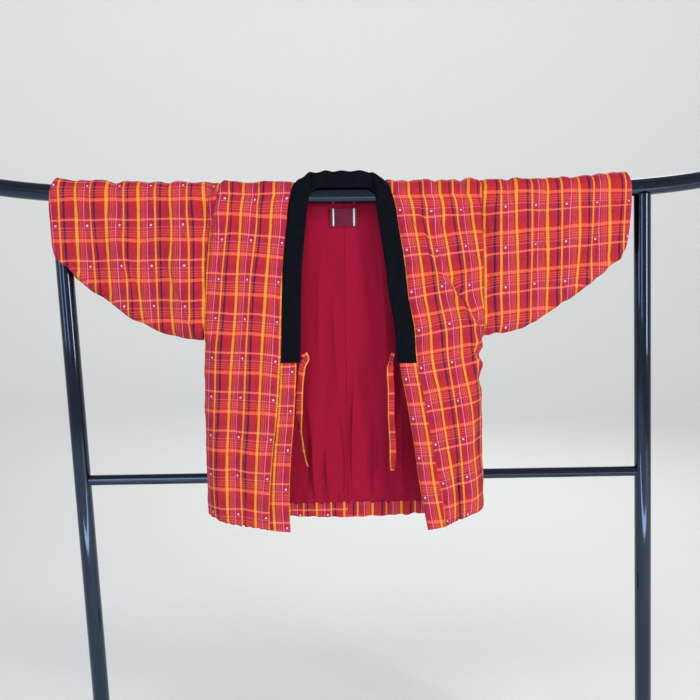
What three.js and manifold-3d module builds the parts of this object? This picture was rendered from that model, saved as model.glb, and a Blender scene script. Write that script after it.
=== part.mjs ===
// Padded hanten jacket, spread over the top rail of a kimono rack.
// Millimetres, +Z up, X to the right seen from the front, Y towards the back.
// The origin is on the floor, under the middle of the rail.
import * as THREE from 'three';
import { mergeVertices } from 'three/addons/utils/BufferGeometryUtils.js';
import Module from 'manifold-3d';

const wasm = await Module();
wasm.setup();

// Rack
const POST_X = 656;
const RAIL_Z = 1500;
const RAIL_SAG = 11;
const RAIL_BEND_POWER = 4.6;
const RAIL_RADIUS = 19;
const RAIL_HALF = 860;
const POST_RADIUS = 19;
const RACK_LEAN = THREE.MathUtils.degToRad(1.84);
const CROSSBAR_DROP = 659;
const CROSSBAR_RADIUS = 12;
const FOOT = { width: 56, height: 34, depth: 450, corner: 14 };
const SOCKET = { radius: 27, height: 46 };

// Garment
const GAP = 0.3;
const CENTRE_X = -20;
const WALL = 12;
const COLLAR_WALL = 12;
const FACING_WALL = 1.5;
const HALF_WALL = WALL / 2;
const RAIL_MID_Z = RAIL_Z - RAIL_SAG;
const RAIL_CLEAR = 0.6;
const SADDLE = RAIL_RADIUS + RAIL_CLEAR + HALF_WALL;
const HEM_DROP = 743;
const HEM_DEPTH = 84;
const DEPTH_POWER = 1.3;
const SWING = 47.5;
const BAR_DROP = CROSSBAR_DROP - RAIL_SAG;
const EDGE_TILT = 10;
const ARMPIT_DROP = 320;
const ARMPIT_ROUND = 50;
const ARMPIT_EASE = 7;
const SHOULDER_RISE = -26;
const SHOULDER_EASE = 30;
const VELVET_END = 368;
const VELVET_WIDTH = 43;
const LINING_TOP = 12;
const FACING_TOP = 700;
const TIE = { width: 15, thickness: 3.4, y: -69 };
const LABEL = { width: 60, top: 29, bottom: 69, thickness: 1 };

// Reach is measured sideways from the centre-back seam, drop downwards from the
// middle of the rail. seam is where the collar is sewn on, side is the armhole
// and, below the armpit, the side seam.
const LEFT = {
  name: 'left',
  sign: -1,
  sideBack: 4,
  frontRound: 46,
  backRound: 44,
  edges: [
    { drop: -26, seam: 108, side: 275 },
    { drop: 0, seam: 119, side: 280 },
    { drop: 76, seam: 129, side: 296 },
    { drop: 164, seam: 138, side: 307 },
    { drop: 249, seam: 141, side: 311 },
    { drop: 366, seam: 145, side: 313 },
    { drop: 502, seam: 156, side: 313 },
    { drop: 573, seam: 165, side: 313 },
    { drop: 681, seam: 174, side: 312 },
    { drop: 743, seam: 174, side: 311 },
  ],
  strip: [
    { drop: 368, width: 35 },
    { drop: 502, width: 38 },
    { drop: 743, width: 46 },
  ],
  cuff: [
    { drop: -32, reach: 640 },
    { drop: 4, reach: 650 },
    { drop: 85, reach: 650 },
    { drop: 126, reach: 645 },
    { drop: 144, reach: 630 },
    { drop: 153, reach: 609 },
    { drop: 172, reach: 604 },
  ],
  under: [
    { reach: 313, drop: ARMPIT_DROP },
    { reach: 338, drop: 316 },
    { reach: 373, drop: 309 },
    { reach: 417, drop: 299 },
    { reach: 457, drop: 280 },
    { reach: 492, drop: 264 },
    { reach: 525, drop: 234 },
    { reach: 565, drop: 206 },
    { reach: 604, drop: 172 },
  ],
  neck: [
    { turn: 0, seamTurn: 0, reach: 119 },
    { turn: 15, seamTurn: 15, reach: 117.5 },
    { turn: 30, seamTurn: 30, reach: 116 },
    { turn: 45, seamTurn: 45, reach: 114 },
    { turn: 60, seamTurn: 60, reach: 112 },
    { turn: 74, seamTurn: 74, reach: 110 },
    { turn: 84, seamTurn: 85, reach: 106 },
    { turn: 92, seamTurn: 94, reach: 100 },
    { turn: 98, seamTurn: 100, reach: 86 },
    { turn: 103, seamTurn: 103.5, reach: 60 },
    { turn: 109, seamTurn: 105, reach: 30 },
    { turn: 115, seamTurn: 106, reach: 0.15 },
    { turn: 130, seamTurn: 124, reach: 0.15 },
    { turn: 147, seamTurn: 143, reach: 0.15 },
    { turn: 164, seamTurn: 162, reach: 0.15 },
  ],
  // The collar turning up from the front, over the rail, to stand behind the neck.
  turn: [
    { seam: 119, seamY: -26, seamZ: -8, free: 77, freeY: -28, freeZ: -10 },
    { seam: 116, seamY: -25, seamZ: 9, free: 76, freeY: -29, freeZ: 10 },
    { seam: 112, seamY: -17, seamZ: 21, free: 75, freeY: -22, freeZ: 25 },
    { seam: 106, seamY: -6, seamZ: 27, free: 74, freeY: -12, freeZ: 38 },
    { seam: 97, seamY: -1, seamZ: 25, free: 71, freeY: -7, freeZ: 48 },
    { seam: 84, seamY: -1.6, seamZ: 21, free: 64, freeY: -6, freeZ: 54 },
    { seam: 64, seamY: -1.8, seamZ: 19.8, free: 54, freeY: -5, freeZ: 57 },
    { seam: 34, seamY: -1.8, seamZ: 19.8, free: 32, freeY: -5, freeZ: 58 },
  ],
  tie: [
    { reach: 93.4, drop: 348 },
    { reach: 89, drop: 361 },
    { reach: 97, drop: 378 },
    { reach: 103, drop: 420 },
    { reach: 106, drop: 490 },
    { reach: 102, drop: 550 },
    { reach: 95, drop: 590 },
    { reach: 89, drop: 606 },
  ],
};
const RIGHT = {
  name: 'right',
  sign: 1,
  sideBack: 22,
  frontRound: 62,
  backRound: 26,
  edges: [
    { drop: -26, seam: 93, side: 308 },
    { drop: 0, seam: 108, side: 308 },
    { drop: 77, seam: 122, side: 309 },
    { drop: 156, seam: 134, side: 310 },
    { drop: 227, seam: 141, side: 310 },
    { drop: 297, seam: 153, side: 308 },
    { drop: 368, seam: 157, side: 300 },
    { drop: 452, seam: 172, side: 303 },
    { drop: 522, seam: 184, side: 305 },
    { drop: 606, seam: 198, side: 306 },
    { drop: 693, seam: 212, side: 308 },
    { drop: 743, seam: 214, side: 308 },
  ],
  strip: [
    { drop: 368, width: 38 },
    { drop: 537, width: 40 },
    { drop: 692, width: 44 },
    { drop: 743, width: 37 },
  ],
  cuff: [
    { drop: -32, reach: 643 },
    { drop: 7, reach: 646 },
    { drop: 69, reach: 642 },
    { drop: 114, reach: 636 },
    { drop: 136, reach: 628 },
  ],
  under: [
    { reach: 308, drop: ARMPIT_DROP },
    { reach: 326, drop: 312 },
    { reach: 362, drop: 309 },
    { reach: 404, drop: 299 },
    { reach: 445, drop: 279 },
    { reach: 486, drop: 252 },
    { reach: 527, drop: 226 },
    { reach: 563, drop: 198 },
    { reach: 603, drop: 160 },
    { reach: 628, drop: 136 },
  ],
  neck: [
    { turn: 0, seamTurn: 0, reach: 108 },
    { turn: 15, seamTurn: 15, reach: 106 },
    { turn: 30, seamTurn: 30, reach: 104 },
    { turn: 45, seamTurn: 45, reach: 101.5 },
    { turn: 60, seamTurn: 60, reach: 99 },
    { turn: 74, seamTurn: 74, reach: 96 },
    { turn: 84, seamTurn: 85, reach: 92 },
    { turn: 92, seamTurn: 94, reach: 86 },
    { turn: 98, seamTurn: 100, reach: 74 },
    { turn: 103, seamTurn: 103.5, reach: 54 },
    { turn: 109, seamTurn: 105, reach: 28 },
    { turn: 115, seamTurn: 106, reach: 0.15 },
    { turn: 130, seamTurn: 124, reach: 0.15 },
    { turn: 147, seamTurn: 143, reach: 0.15 },
    { turn: 164, seamTurn: 162, reach: 0.15 },
  ],
  turn: [
    { seam: 108, seamY: -26, seamZ: -8, free: 72, freeY: -28, freeZ: -10 },
    { seam: 104, seamY: -25, seamZ: 9, free: 70, freeY: -29, freeZ: 10 },
    { seam: 99, seamY: -17, seamZ: 21, free: 68, freeY: -22, freeZ: 25 },
    { seam: 92, seamY: -6, seamZ: 27, free: 65, freeY: -12, freeZ: 38 },
    { seam: 84, seamY: -1, seamZ: 25, free: 61, freeY: -7, freeZ: 48 },
    { seam: 73, seamY: -1.6, seamZ: 21, free: 56, freeY: -6, freeZ: 54 },
    { seam: 56, seamY: -1.8, seamZ: 19.8, free: 48, freeY: -5, freeZ: 57 },
    { seam: 30, seamY: -1.8, seamZ: 19.8, free: 28, freeY: -5, freeZ: 58 },
  ],
  tie: [
    { reach: 105.2, drop: 350 },
    { reach: 101, drop: 364 },
    { reach: 98, drop: 392 },
    { reach: 100, drop: 435 },
    { reach: 100, drop: 495 },
    { reach: 103, drop: 555 },
    { reach: 103, drop: 600 },
    { reach: 102, drop: 619 },
  ],
};

// The largest folds. A ridge runs from one point to the other; height is how far
// it stands out of its layer, or sinks in where it is negative, width its half width.
const FRONT_FOLDS = [
  { x1: 150, drop1: 20, x2: 186, drop2: 172, width: 20, height: 7 },
  { x1: 186, drop1: 172, x2: 290, drop2: 296, width: 18, height: 9 },
  { x1: 240, drop1: 10, x2: 285, drop2: 220, width: 26, height: 5 },
  { x1: 250, drop1: 380, x2: 232, drop2: 720, width: 26, height: 6 },
  { x1: 300, drop1: 345, x2: 262, drop2: 470, width: 20, height: 6 },
  { x1: -552, drop1: 8, x2: -482, drop2: 280, width: 26, height: 8 },
  { x1: -400, drop1: 40, x2: -372, drop2: 300, width: 24, height: 6 },
  { x1: -270, drop1: 30, x2: -288, drop2: 420, width: 26, height: 6 },
  { x1: -215, drop1: 60, x2: -236, drop2: 700, width: 24, height: 5 },
  { x1: 380, drop1: 20, x2: 352, drop2: 300, width: 26, height: 6 },
  { x1: 500, drop1: 20, x2: 470, drop2: 220, width: 28, height: 6 },
];
const BACK_FOLDS = [
  { x1: -250, drop1: 120, x2: -220, drop2: 740, width: 34, height: -8 },
  { x1: -110, drop1: 200, x2: -90, drop2: 750, width: 30, height: -7 },
  { x1: 60, drop1: 160, x2: 74, drop2: 750, width: 32, height: -7 },
  { x1: 200, drop1: 110, x2: 214, drop2: 740, width: 34, height: -8 },
  { x1: -500, drop1: 20, x2: -430, drop2: 270, width: 28, height: -7 },
  { x1: 470, drop1: 20, x2: 420, drop2: 270, width: 28, height: -7 },
];

const smooth = (value) => {
  const t = Math.min(1, Math.max(0, value));
  return t * t * (3 - 2 * t);
};

const mix = (from, to, share) => from + (to - from) * share;

// Reads a column of a table at a key between its rows, along one smooth curve.
function read(rows, key, column, at) {
  const last = rows.length - 1;
  if (at <= rows[0][key]) return rows[0][column];
  if (at >= rows[last][key]) return rows[last][column];
  let i = 0;
  while (at > rows[i + 1][key]) i += 1;
  const slope = (a, b) => (rows[b][column] - rows[a][column]) / (rows[b][key] - rows[a][key]);
  const span = rows[i + 1][key] - rows[i][key];
  const here = slope(i, i + 1);
  const before = i > 0 ? (slope(i - 1, i) + here) / 2 : here;
  const after = i + 1 < last ? (here + slope(i + 1, i + 2)) / 2 : here;
  const t = (at - rows[i][key]) / span;
  const u = 1 - t;
  return u * u * (1 + 2 * t) * rows[i][column] + t * t * (3 - 2 * t) * rows[i + 1][column]
    + t * u * u * span * before - t * t * u * span * after;
}

const railRise = (x) => RAIL_SAG * (Math.abs(x) / POST_X) ** RAIL_BEND_POWER;
const railZ = (x) => RAIL_MID_Z + railRise(x);

function relief(folds, x, drop) {
  let out = 0;
  for (const fold of folds) {
    const dx = fold.x2 - fold.x1;
    const dz = fold.drop2 - fold.drop1;
    const along = ((x - fold.x1) * dx + (drop - fold.drop1) * dz) / (dx * dx + dz * dz);
    if (along > 0 && along < 1) {
      const away = Math.abs((x - fold.x1) * dz - (drop - fold.drop1) * dx) / Math.hypot(dx, dz);
      out += fold.height * Math.sin(Math.PI * along) * Math.exp(-((away / fold.width) ** 2));
    }
  }
  return out;
}

const opening = (drop) => (Math.max(0, drop) / HEM_DROP) ** DEPTH_POWER;

// The back leans forward from the rail to pass in front of the crossbar, then
// hangs straight; the change is eased over EASE_FROM to EASE_TO of that height.
const EASE_FROM = 0.85;
const EASE_TO = 1.15;

function swing(drop) {
  const t = Math.max(0, drop) / BAR_DROP;
  if (t < EASE_FROM) return SWING * t;
  if (t > EASE_TO) return SWING;
  return SWING * (t - (t - EASE_FROM) ** 2 / (2 * (EASE_TO - EASE_FROM)));
}

const backY = (drop) => SADDLE - swing(drop);
const frontY = (drop) => backY(drop) - 2 * SADDLE - (HEM_DEPTH - 2 * SADDLE) * opening(drop);
const middleY = (drop) => (frontY(drop) + backY(drop)) / 2;
const layerY = (layer, drop) => (layer === 'front' ? frontY(drop) : backY(drop));

// How open the armhole edge is: 1 where a sleeve joins, 0 on the closed side seam.
function armholeShare(drop) {
  const into = (drop - (ARMPIT_DROP + ARMPIT_EASE - ARMPIT_ROUND)) / ARMPIT_ROUND;
  if (into <= 0) return 1;
  return into >= 1 ? 0 : Math.sqrt(1 - into * into);
}

function sideSeamY(side, drop) {
  return middleY(drop) + side.sideBack * smooth((drop - ARMPIT_DROP) / (HEM_DROP - ARMPIT_DROP));
}

// A point of the front or back layer. across is 0 on the inner edge and 1 where
// the side starts to round, bend is the angle round the side, out the distance
// from the middle of the wall.
function layerPoint(side, layer, inner, across, bend, drop, out) {
  const isFront = layer === 'front';
  const share = armholeShare(drop);
  const fullRound = isFront ? side.frontRound : side.backRound;
  const round = mix(SHOULDER_EASE, fullRound, smooth(drop / HEM_DROP));
  const edge = read(side.edges, 'drop', 'side', drop);
  const flatReach = mix(inner, edge - round, across);
  const reach = flatReach + (round + out * (1 - share)) * Math.sin(bend);
  const x = CENTRE_X + side.sign * reach;
  const away = isFront ? -1 : 1;
  const tilt = isFront ? EDGE_TILT * opening(drop) * (1 - across) : 0;
  const folds = relief(isFront ? FRONT_FOLDS : BACK_FOLDS, x, drop);
  const seamY = sideSeamY(side, drop);
  const flatY = layerY(layer, drop) + away * tilt - seamY;
  const turned = share + (1 - share) * Math.cos(bend);
  const lift = (folds * Math.min(1, across + 0.4) + out) * turned;
  const seamGap = away * (GAP / 2) * (1 - share);
  return new THREE.Vector3(x, seamY + flatY * turned + away * lift + seamGap, railZ(x) - drop);
}

// A point on the arc over the rail; turn is 0 at its front and 180 at its back.
function overPoint(side, reach, turn, out) {
  const angle = THREE.MathUtils.degToRad(turn);
  const x = CENTRE_X + side.sign * reach;
  const radius = SADDLE + out;
  return new THREE.Vector3(x, -radius * Math.cos(angle), railZ(x) + radius * Math.sin(angle));
}

// Where the armhole seam crosses the rail at a turn round it.
function armReach(side, turn) {
  return read(side.edges, 'drop', 'side', SHOULDER_RISE * Math.sin(THREE.MathUtils.degToRad(turn)));
}

// One closed wall from the grids of its outer and inner points. ring says that
// each row closes on itself.
function wall(outer, inner, ring = false) {
  const rows = outer.length;
  const columns = outer[0].length;
  const positions = [];
  for (const grid of [outer, inner]) {
    for (const row of grid) {
      for (const point of row) positions.push(point.x, point.y, point.z);
    }
  }
  const at = (layer, row, column) => (layer * rows + row) * columns + (column % columns);
  const index = [];
  const quad = (a, b, c, d) => index.push(a, b, c, a, c, d);
  const spans = ring ? columns : columns - 1;
  for (let i = 0; i < rows - 1; i += 1) {
    for (let j = 0; j < spans; j += 1) {
      quad(at(0, i, j), at(0, i, j + 1), at(0, i + 1, j + 1), at(0, i + 1, j));
      quad(at(1, i, j), at(1, i + 1, j), at(1, i + 1, j + 1), at(1, i, j + 1));
    }
  }
  for (let j = 0; j < spans; j += 1) {
    quad(at(0, 0, j), at(1, 0, j), at(1, 0, j + 1), at(0, 0, j + 1));
    quad(at(0, rows - 1, j + 1), at(1, rows - 1, j + 1), at(1, rows - 1, j), at(0, rows - 1, j));
  }
  if (!ring) {
    for (let i = 0; i < rows - 1; i += 1) {
      quad(at(0, i + 1, 0), at(1, i + 1, 0), at(1, i, 0), at(0, i, 0));
      quad(at(0, i, spans), at(1, i, spans), at(1, i + 1, spans), at(0, i + 1, spans));
    }
  }
  return facingOut(positions, index);
}

function facingOut(positions, index) {
  let volume = 0;
  const point = (k) => new THREE.Vector3().fromArray(positions, 3 * k);
  for (let k = 0; k < index.length; k += 3) {
    volume += point(index[k]).dot(point(index[k + 1]).cross(point(index[k + 2])));
  }
  const turned = volume < 0 ? index.slice().reverse() : index;
  const geometry = new THREE.BufferGeometry();
  geometry.setAttribute('position', new THREE.Float32BufferAttribute(positions, 3));
  geometry.setIndex(turned);
  return geometry;
}

function toSolid(geometry) {
  const bare = geometry.clone();
  bare.deleteAttribute('normal');
  bare.deleteAttribute('uv');
  const merged = mergeVertices(bare, 1e-4);
  return new wasm.Manifold(new wasm.Mesh({
    numProp: 3,
    vertProperties: new Float32Array(merged.attributes.position.array),
    triVerts: new Uint32Array(merged.index.array),
  }));
}

function toGeometry(solid) {
  const mesh = solid.getMesh();
  const geometry = new THREE.BufferGeometry();
  geometry.setAttribute('position', new THREE.Float32BufferAttribute(mesh.vertProperties, 3));
  geometry.setIndex(Array.from(mesh.triVerts));
  return geometry;
}

const cut = (geometry, tool) => toGeometry(toSolid(geometry).subtract(toSolid(tool)));

const steps = (count) => Array.from({ length: count + 1 }, (_, i) => i / count);

// Body
const FLAT_COLUMNS = 7;
const BEND_COLUMNS = 4;
const STRIP_ROWS = 8;
const UPPER_ROWS = 9;
const LINING_ROWS = 14;
const HEM = { frontEdge: 743, front: 738, frontSide: 712, back: 735, backSide: 714 };

function columnsOf() {
  const flat = steps(FLAT_COLUMNS).map((across) => ({ across, bend: 0 }));
  const turns = steps(BEND_COLUMNS).slice(1);
  const bent = turns.map((share) => ({ across: 1, bend: share * Math.PI / 2 }));
  return [...flat, ...bent];
}

// The hem climbs a little from its middle to the side.
function hemDrop(layer, column) {
  const sideways = (column.across + Math.sin(column.bend)) / 2;
  if (layer === 'front') return mix(HEM.front, HEM.frontSide, sideways);
  return mix(HEM.back, HEM.backSide, sideways);
}

const stripDrops = (top, hem) => steps(STRIP_ROWS).map((up) => mix(hem, top, up));
const upperDrops = () => steps(UPPER_ROWS).slice(1).map((up) => mix(VELVET_END, 0, up));
const frontDrops = (hem) => [...stripDrops(VELVET_END, hem), ...upperDrops()];
const liningDrops = (bottom) => steps(LINING_ROWS).map((down) => mix(LINING_TOP, bottom, down));
const facingDrops = (hem) => [FACING_TOP, (FACING_TOP + hem) / 2, hem];
const backDrops = (hem) => [0, ...liningDrops(FACING_TOP), ...facingDrops(hem).slice(1)];

function layerRows(side, layer, out, columns, dropsOf, innerOf) {
  const drops = columns.map(dropsOf);
  return drops[0].map((_, row) => columns.map((column, j) => {
    const drop = drops[j][row];
    return layerPoint(side, layer, innerOf(drop), column.across, column.bend, drop, out);
  }));
}

const collarSeam = (side) => (drop) => read(side.edges, 'drop', 'seam', drop);
const backSeam = () => GAP / 2;

function bodyGrid(side, out) {
  const columns = columnsOf();
  const frontRows = (column) => frontDrops(hemDrop('front', column));
  const backRows = (column) => backDrops(hemDrop('back', column));
  const front = layerRows(side, 'front', out, columns, frontRows, collarSeam(side));
  const over = side.neck.slice(1).map((row) => columns.map((column) => {
    const turn = mix(row.seamTurn, row.turn, Math.min(1, column.across * 1.6));
    const flatReach = mix(row.reach, armReach(side, turn) - SHOULDER_EASE, column.across);
    return overPoint(side, flatReach + SHOULDER_EASE * Math.sin(column.bend), turn, out);
  }));
  const back = layerRows(side, 'back', out, columns, backRows, backSeam);
  return [...front, ...over, ...back];
}

const bodyWall = (side) => wall(bodyGrid(side, HALF_WALL), bodyGrid(side, -HALF_WALL));

// Sleeve
const SLEEVE_STATIONS = 11;
const ARC_STEPS = 12;
const SIDE_STEPS = 9;
const UNDER_STEPS = 6;
const ARM_GAP = 0.6;
const CUFF_ROUND = 20;
const PINCH = 0.38;

function sleevePoint(side, along, place, out) {
  const armBottom = read(side.edges, 'drop', 'side', ARMPIT_DROP) + ARM_GAP + ARMPIT_EASE;
  const lastCuff = side.cuff[side.cuff.length - 1];
  const bottomReach = mix(armBottom, lastCuff.reach, along);
  const bottom = read(side.under, 'reach', 'drop', bottomReach) + railRise(CENTRE_X + side.sign * bottomReach);
  const round = mix(ARMPIT_ROUND, CUFF_ROUND, smooth(along * 2.5));
  const isOver = place.part === 'over';
  const flatDrop = (bottom - round) * place.down;
  const bentDrop = bottom - round + (round + out) * Math.sin(place.angle);
  const drop = place.part === 'side' ? flatDrop : bentDrop;
  const seamDrop = isOver ? SHOULDER_RISE * Math.sin(place.angle) : drop;
  const ease = smooth((seamDrop - (ARMPIT_DROP - 40)) / 40) * ARMPIT_EASE;
  const arm = read(side.edges, 'drop', 'side', seamDrop) + ARM_GAP + ease;
  const cuff = read(side.cuff, 'drop', 'reach', seamDrop);
  const reach = mix(arm, cuff, along);
  if (isOver) return overPoint(side, reach, THREE.MathUtils.radToDeg(place.angle), out);
  const x = CENTRE_X + side.sign * reach;
  const away = place.front ? -1 : 1;
  const upright = smooth(along * 1.5);
  const middle = mix(middleY(drop), 0, upright);
  const halfDepth = mix((backY(drop) - frontY(drop)) / 2, SADDLE, upright);
  const pinch = 1 - PINCH * Math.sin(Math.PI * Math.min(1, along * 1.04)) ** 0.8 * (drop / bottom) ** 2;
  const calm = 1 - smooth((along - 0.85) / 0.15);
  const folds = relief(place.front ? FRONT_FOLDS : BACK_FOLDS, x, drop) * calm;
  const bend = place.part === 'side' ? 1 : Math.cos(place.angle);
  return new THREE.Vector3(x, middle + away * (halfDepth * pinch + folds + out) * bend, railZ(x) - drop);
}

function sleevePlaces() {
  const over = steps(ARC_STEPS).map((t) => ({ part: 'over', angle: Math.PI * t }));
  const back = steps(SIDE_STEPS).slice(1).map((down) => ({ part: 'side', down, front: false }));
  const under = steps(UNDER_STEPS).slice(1, -1).map((t) => {
    const angle = Math.PI * t;
    return { part: 'under', angle: Math.min(angle, Math.PI - angle), front: t > 0.5 };
  });
  const front = steps(SIDE_STEPS).slice(1).reverse().map((down) => ({ part: 'side', down, front: true }));
  return [...over, ...back, ...under, ...front];
}

function sleeveWall(side) {
  const places = sleevePlaces();
  const grid = (out) => steps(SLEEVE_STATIONS).map(
    (along) => places.map((place) => sleevePoint(side, along, place, out)),
  );
  return wall(grid(HALF_WALL), grid(-HALF_WALL), true);
}

// Collar: velvet band in one length, and the plaid strips below it
const BAND_COLUMNS = 5;
const BAND_FRONT_STEPS = 11;

function bandFrame(side, drop) {
  const seam = read(side.edges, 'drop', 'seam', drop) - GAP;
  const y = frontY(drop) - EDGE_TILT * opening(drop);
  const at = (reach) => new THREE.Vector3(CENTRE_X + side.sign * reach, y, RAIL_MID_Z - drop);
  return { seam: at(seam), free: at(seam - VELVET_WIDTH) };
}

function turnFrame(side, row) {
  const x = (reach) => CENTRE_X + side.sign * reach;
  return {
    seam: new THREE.Vector3(x(row.seam - GAP), row.seamY, RAIL_MID_Z + row.seamZ),
    free: new THREE.Vector3(x(row.free), row.freeY, RAIL_MID_Z + row.freeZ),
  };
}

function bandFrames(extra) {
  const half = (side) => [
    ...steps(BAND_FRONT_STEPS).map((t) => bandFrame(side, mix(VELVET_END + extra, 16, t))),
    ...side.turn.map((row) => turnFrame(side, row)),
  ];
  const last = LEFT.turn[LEFT.turn.length - 1];
  const centre = {
    seam: new THREE.Vector3(CENTRE_X, last.seamY, RAIL_MID_Z + last.seamZ),
    free: new THREE.Vector3(CENTRE_X, last.freeY, RAIL_MID_Z + last.freeZ),
  };
  return [...half(LEFT), centre, ...half(RIGHT).reverse()];
}

// The band is plump in the middle and thinner at its two long edges.
const PLUMP = [0.86, 1, 1, 1, 0.94, 0.6];

function bandWall(grow) {
  const frames = bandFrames(grow);
  const grid = (out) => frames.map((frame, i) => {
    const before = frames[Math.max(0, i - 1)].seam;
    const after = frames[Math.min(frames.length - 1, i + 1)].seam;
    const across = frame.free.clone().sub(frame.seam);
    const normal = after.clone().sub(before).cross(across).normalize();
    const start = grow > 0 ? frame.seam.clone().addScaledVector(across, -grow / across.length()) : frame.seam;
    return steps(BAND_COLUMNS).map((t, j) => start.clone().lerp(frame.free, t)
      .addScaledVector(normal, out * (COLLAR_WALL / 2) * PLUMP[j] + Math.sign(out) * grow));
  });
  return wall(grid(1), grid(-1));
}

const STRIP_COLUMNS = 3;
const STRIP_WALL = 11;
const STRIP_LIFT = 3;
const STRIP_TOP = VELVET_END + 1.2;

function stripWall(side) {
  const grid = (out) => {
    const columns = steps(STRIP_COLUMNS);
    const drops = columns.map((t) => stripDrops(STRIP_TOP, mix(HEM.front, HEM.frontEdge, t)));
    return drops[0].map((_, row) => columns.map((t, j) => {
      const drop = drops[j][row];
      const seam = read(side.edges, 'drop', 'seam', drop) - GAP;
      const x = CENTRE_X + side.sign * (seam - t * read(side.strip, 'drop', 'width', drop));
      const forward = (EDGE_TILT + STRIP_LIFT * t) * opening(drop);
      return new THREE.Vector3(x, frontY(drop) - forward - out, railZ(x) - drop);
    }));
  };
  return wall(grid(STRIP_WALL / 2), grid(-STRIP_WALL / 2));
}

// Lining and turned-up hem on the inside of the back, laid on its own points
const SKIN_OUT = -(HALF_WALL + GAP);

function backSkin(side, dropsOf) {
  const columns = columnsOf().filter((column) => column.bend === 0);
  const grid = (out) => layerRows(side, 'back', out, columns, dropsOf, backSeam);
  return wall(grid(SKIN_OUT), grid(SKIN_OUT - FACING_WALL));
}

const liningWall = (side) => backSkin(side, () => liningDrops(FACING_TOP - GAP));
const facingWall = (side) => backSkin(side, (column) => facingDrops(hemDrop('back', column) - 1));

function labelWall() {
  const liningY = SKIN_OUT - FACING_WALL - GAP;
  const grid = (out) => steps(4).map((down) => steps(6).map((t) => {
    const x = CENTRE_X + mix(-LABEL.width / 2, LABEL.width / 2, t);
    const drop = mix(LABEL.top, LABEL.bottom, down);
    const y = backY(drop) + liningY - out;
    return new THREE.Vector3(x, y, railZ(x) - drop);
  }));
  return wall(grid(0), grid(LABEL.thickness));
}

// Ties: flat sewn cords hanging from the foot of the velvet
function tieGeometry(side) {
  const points = side.tie.map((row) => new THREE.Vector3(
    CENTRE_X + side.sign * row.reach,
    TIE.y,
    RAIL_MID_Z - row.drop,
  ));
  const path = new THREE.CatmullRomCurve3(points, false, 'centripetal');
  const section = steps(8).slice(0, -1).map((t) => new THREE.Vector2(
    TIE.width / 2 * Math.cos(2 * Math.PI * t),
    TIE.thickness / 2 * Math.sin(2 * Math.PI * t),
  ));
  const rings = steps(26).map((t) => {
    const at = path.getPointAt(t);
    const along = path.getTangentAt(t);
    const wide = new THREE.Vector3(1, 0, 0).addScaledVector(along, -along.x).normalize();
    const thick = along.clone().cross(wide);
    return section.map((p) => at.clone().addScaledVector(wide, p.x).addScaledVector(thick, p.y));
  });
  const positions = rings.flat().flatMap((p) => p.toArray());
  const count = section.length;
  const index = [];
  for (let i = 0; i < rings.length - 1; i += 1) {
    for (let j = 0; j < count; j += 1) {
      const a = i * count + j;
      const b = i * count + (j + 1) % count;
      index.push(a, b, b + count, a, b + count, a + count);
    }
  }
  const end = (rings.length - 1) * count;
  for (let j = 1; j < count - 1; j += 1) {
    index.push(0, j + 1, j, end, end + j, end + j + 1);
  }
  return facingOut(positions, index);
}

// Rack
const ROUND_SIDES = 20;

function railPiece(from, to, count, radius = RAIL_RADIUS) {
  const points = steps(count).map((t) => {
    const x = mix(from, to, t);
    return new THREE.Vector3(x, 0, railZ(x));
  });
  const ring = (x) => steps(ROUND_SIDES).slice(0, -1).map((t) => {
    const angle = 2 * Math.PI * t;
    return new THREE.Vector3(x, radius * Math.cos(angle), railZ(x) + radius * Math.sin(angle));
  });
  const rings = points.map((p) => ring(p.x));
  const positions = rings.flat().flatMap((p) => p.toArray());
  const index = [];
  for (let i = 0; i < rings.length - 1; i += 1) {
    for (let j = 0; j < ROUND_SIDES; j += 1) {
      const a = i * ROUND_SIDES + j;
      const b = i * ROUND_SIDES + (j + 1) % ROUND_SIDES;
      index.push(a, b, b + ROUND_SIDES, a, b + ROUND_SIDES, a + ROUND_SIDES);
    }
  }
  const end = (rings.length - 1) * ROUND_SIDES;
  for (let j = 1; j < ROUND_SIDES - 1; j += 1) {
    index.push(0, j + 1, j, end, end + j, end + j + 1);
  }
  return facingOut(positions, index);
}

const postX = (sign, drop) => sign * POST_X + Math.tan(RACK_LEAN) * drop;
const footX = (sign) => postX(sign, RAIL_Z - FOOT.height);

// An upright tube, sheared sideways by the lean so that its ends stay level.
function leaningTube(sign, radius, fromZ, toZ) {
  const tube = new THREE.CylinderGeometry(radius, radius, toZ - fromZ, ROUND_SIDES);
  tube.rotateX(Math.PI / 2);
  tube.applyMatrix4(new THREE.Matrix4().makeShear(0, 0, 0, 0, -Math.tan(RACK_LEAN), 0));
  const middle = (fromZ + toZ) / 2;
  tube.translate(postX(sign, RAIL_Z - middle), 0, middle);
  return tube;
}

function postGeometry(sign) {
  const tube = leaningTube(sign, POST_RADIUS, FOOT.height + GAP, RAIL_Z);
  const railRoom = railPiece(sign * POST_X - 80, sign * POST_X + 80, 8, RAIL_RADIUS + GAP);
  return keepLargest(toSolid(tube).subtract(toSolid(railRoom)));
}

// Coping a tube to the rail leaves a sliver above it; only the tube is kept.
function keepLargest(solid) {
  const pieces = solid.decompose();
  pieces.sort((a, b) => b.volume() - a.volume());
  return toGeometry(pieces[0]);
}

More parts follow.
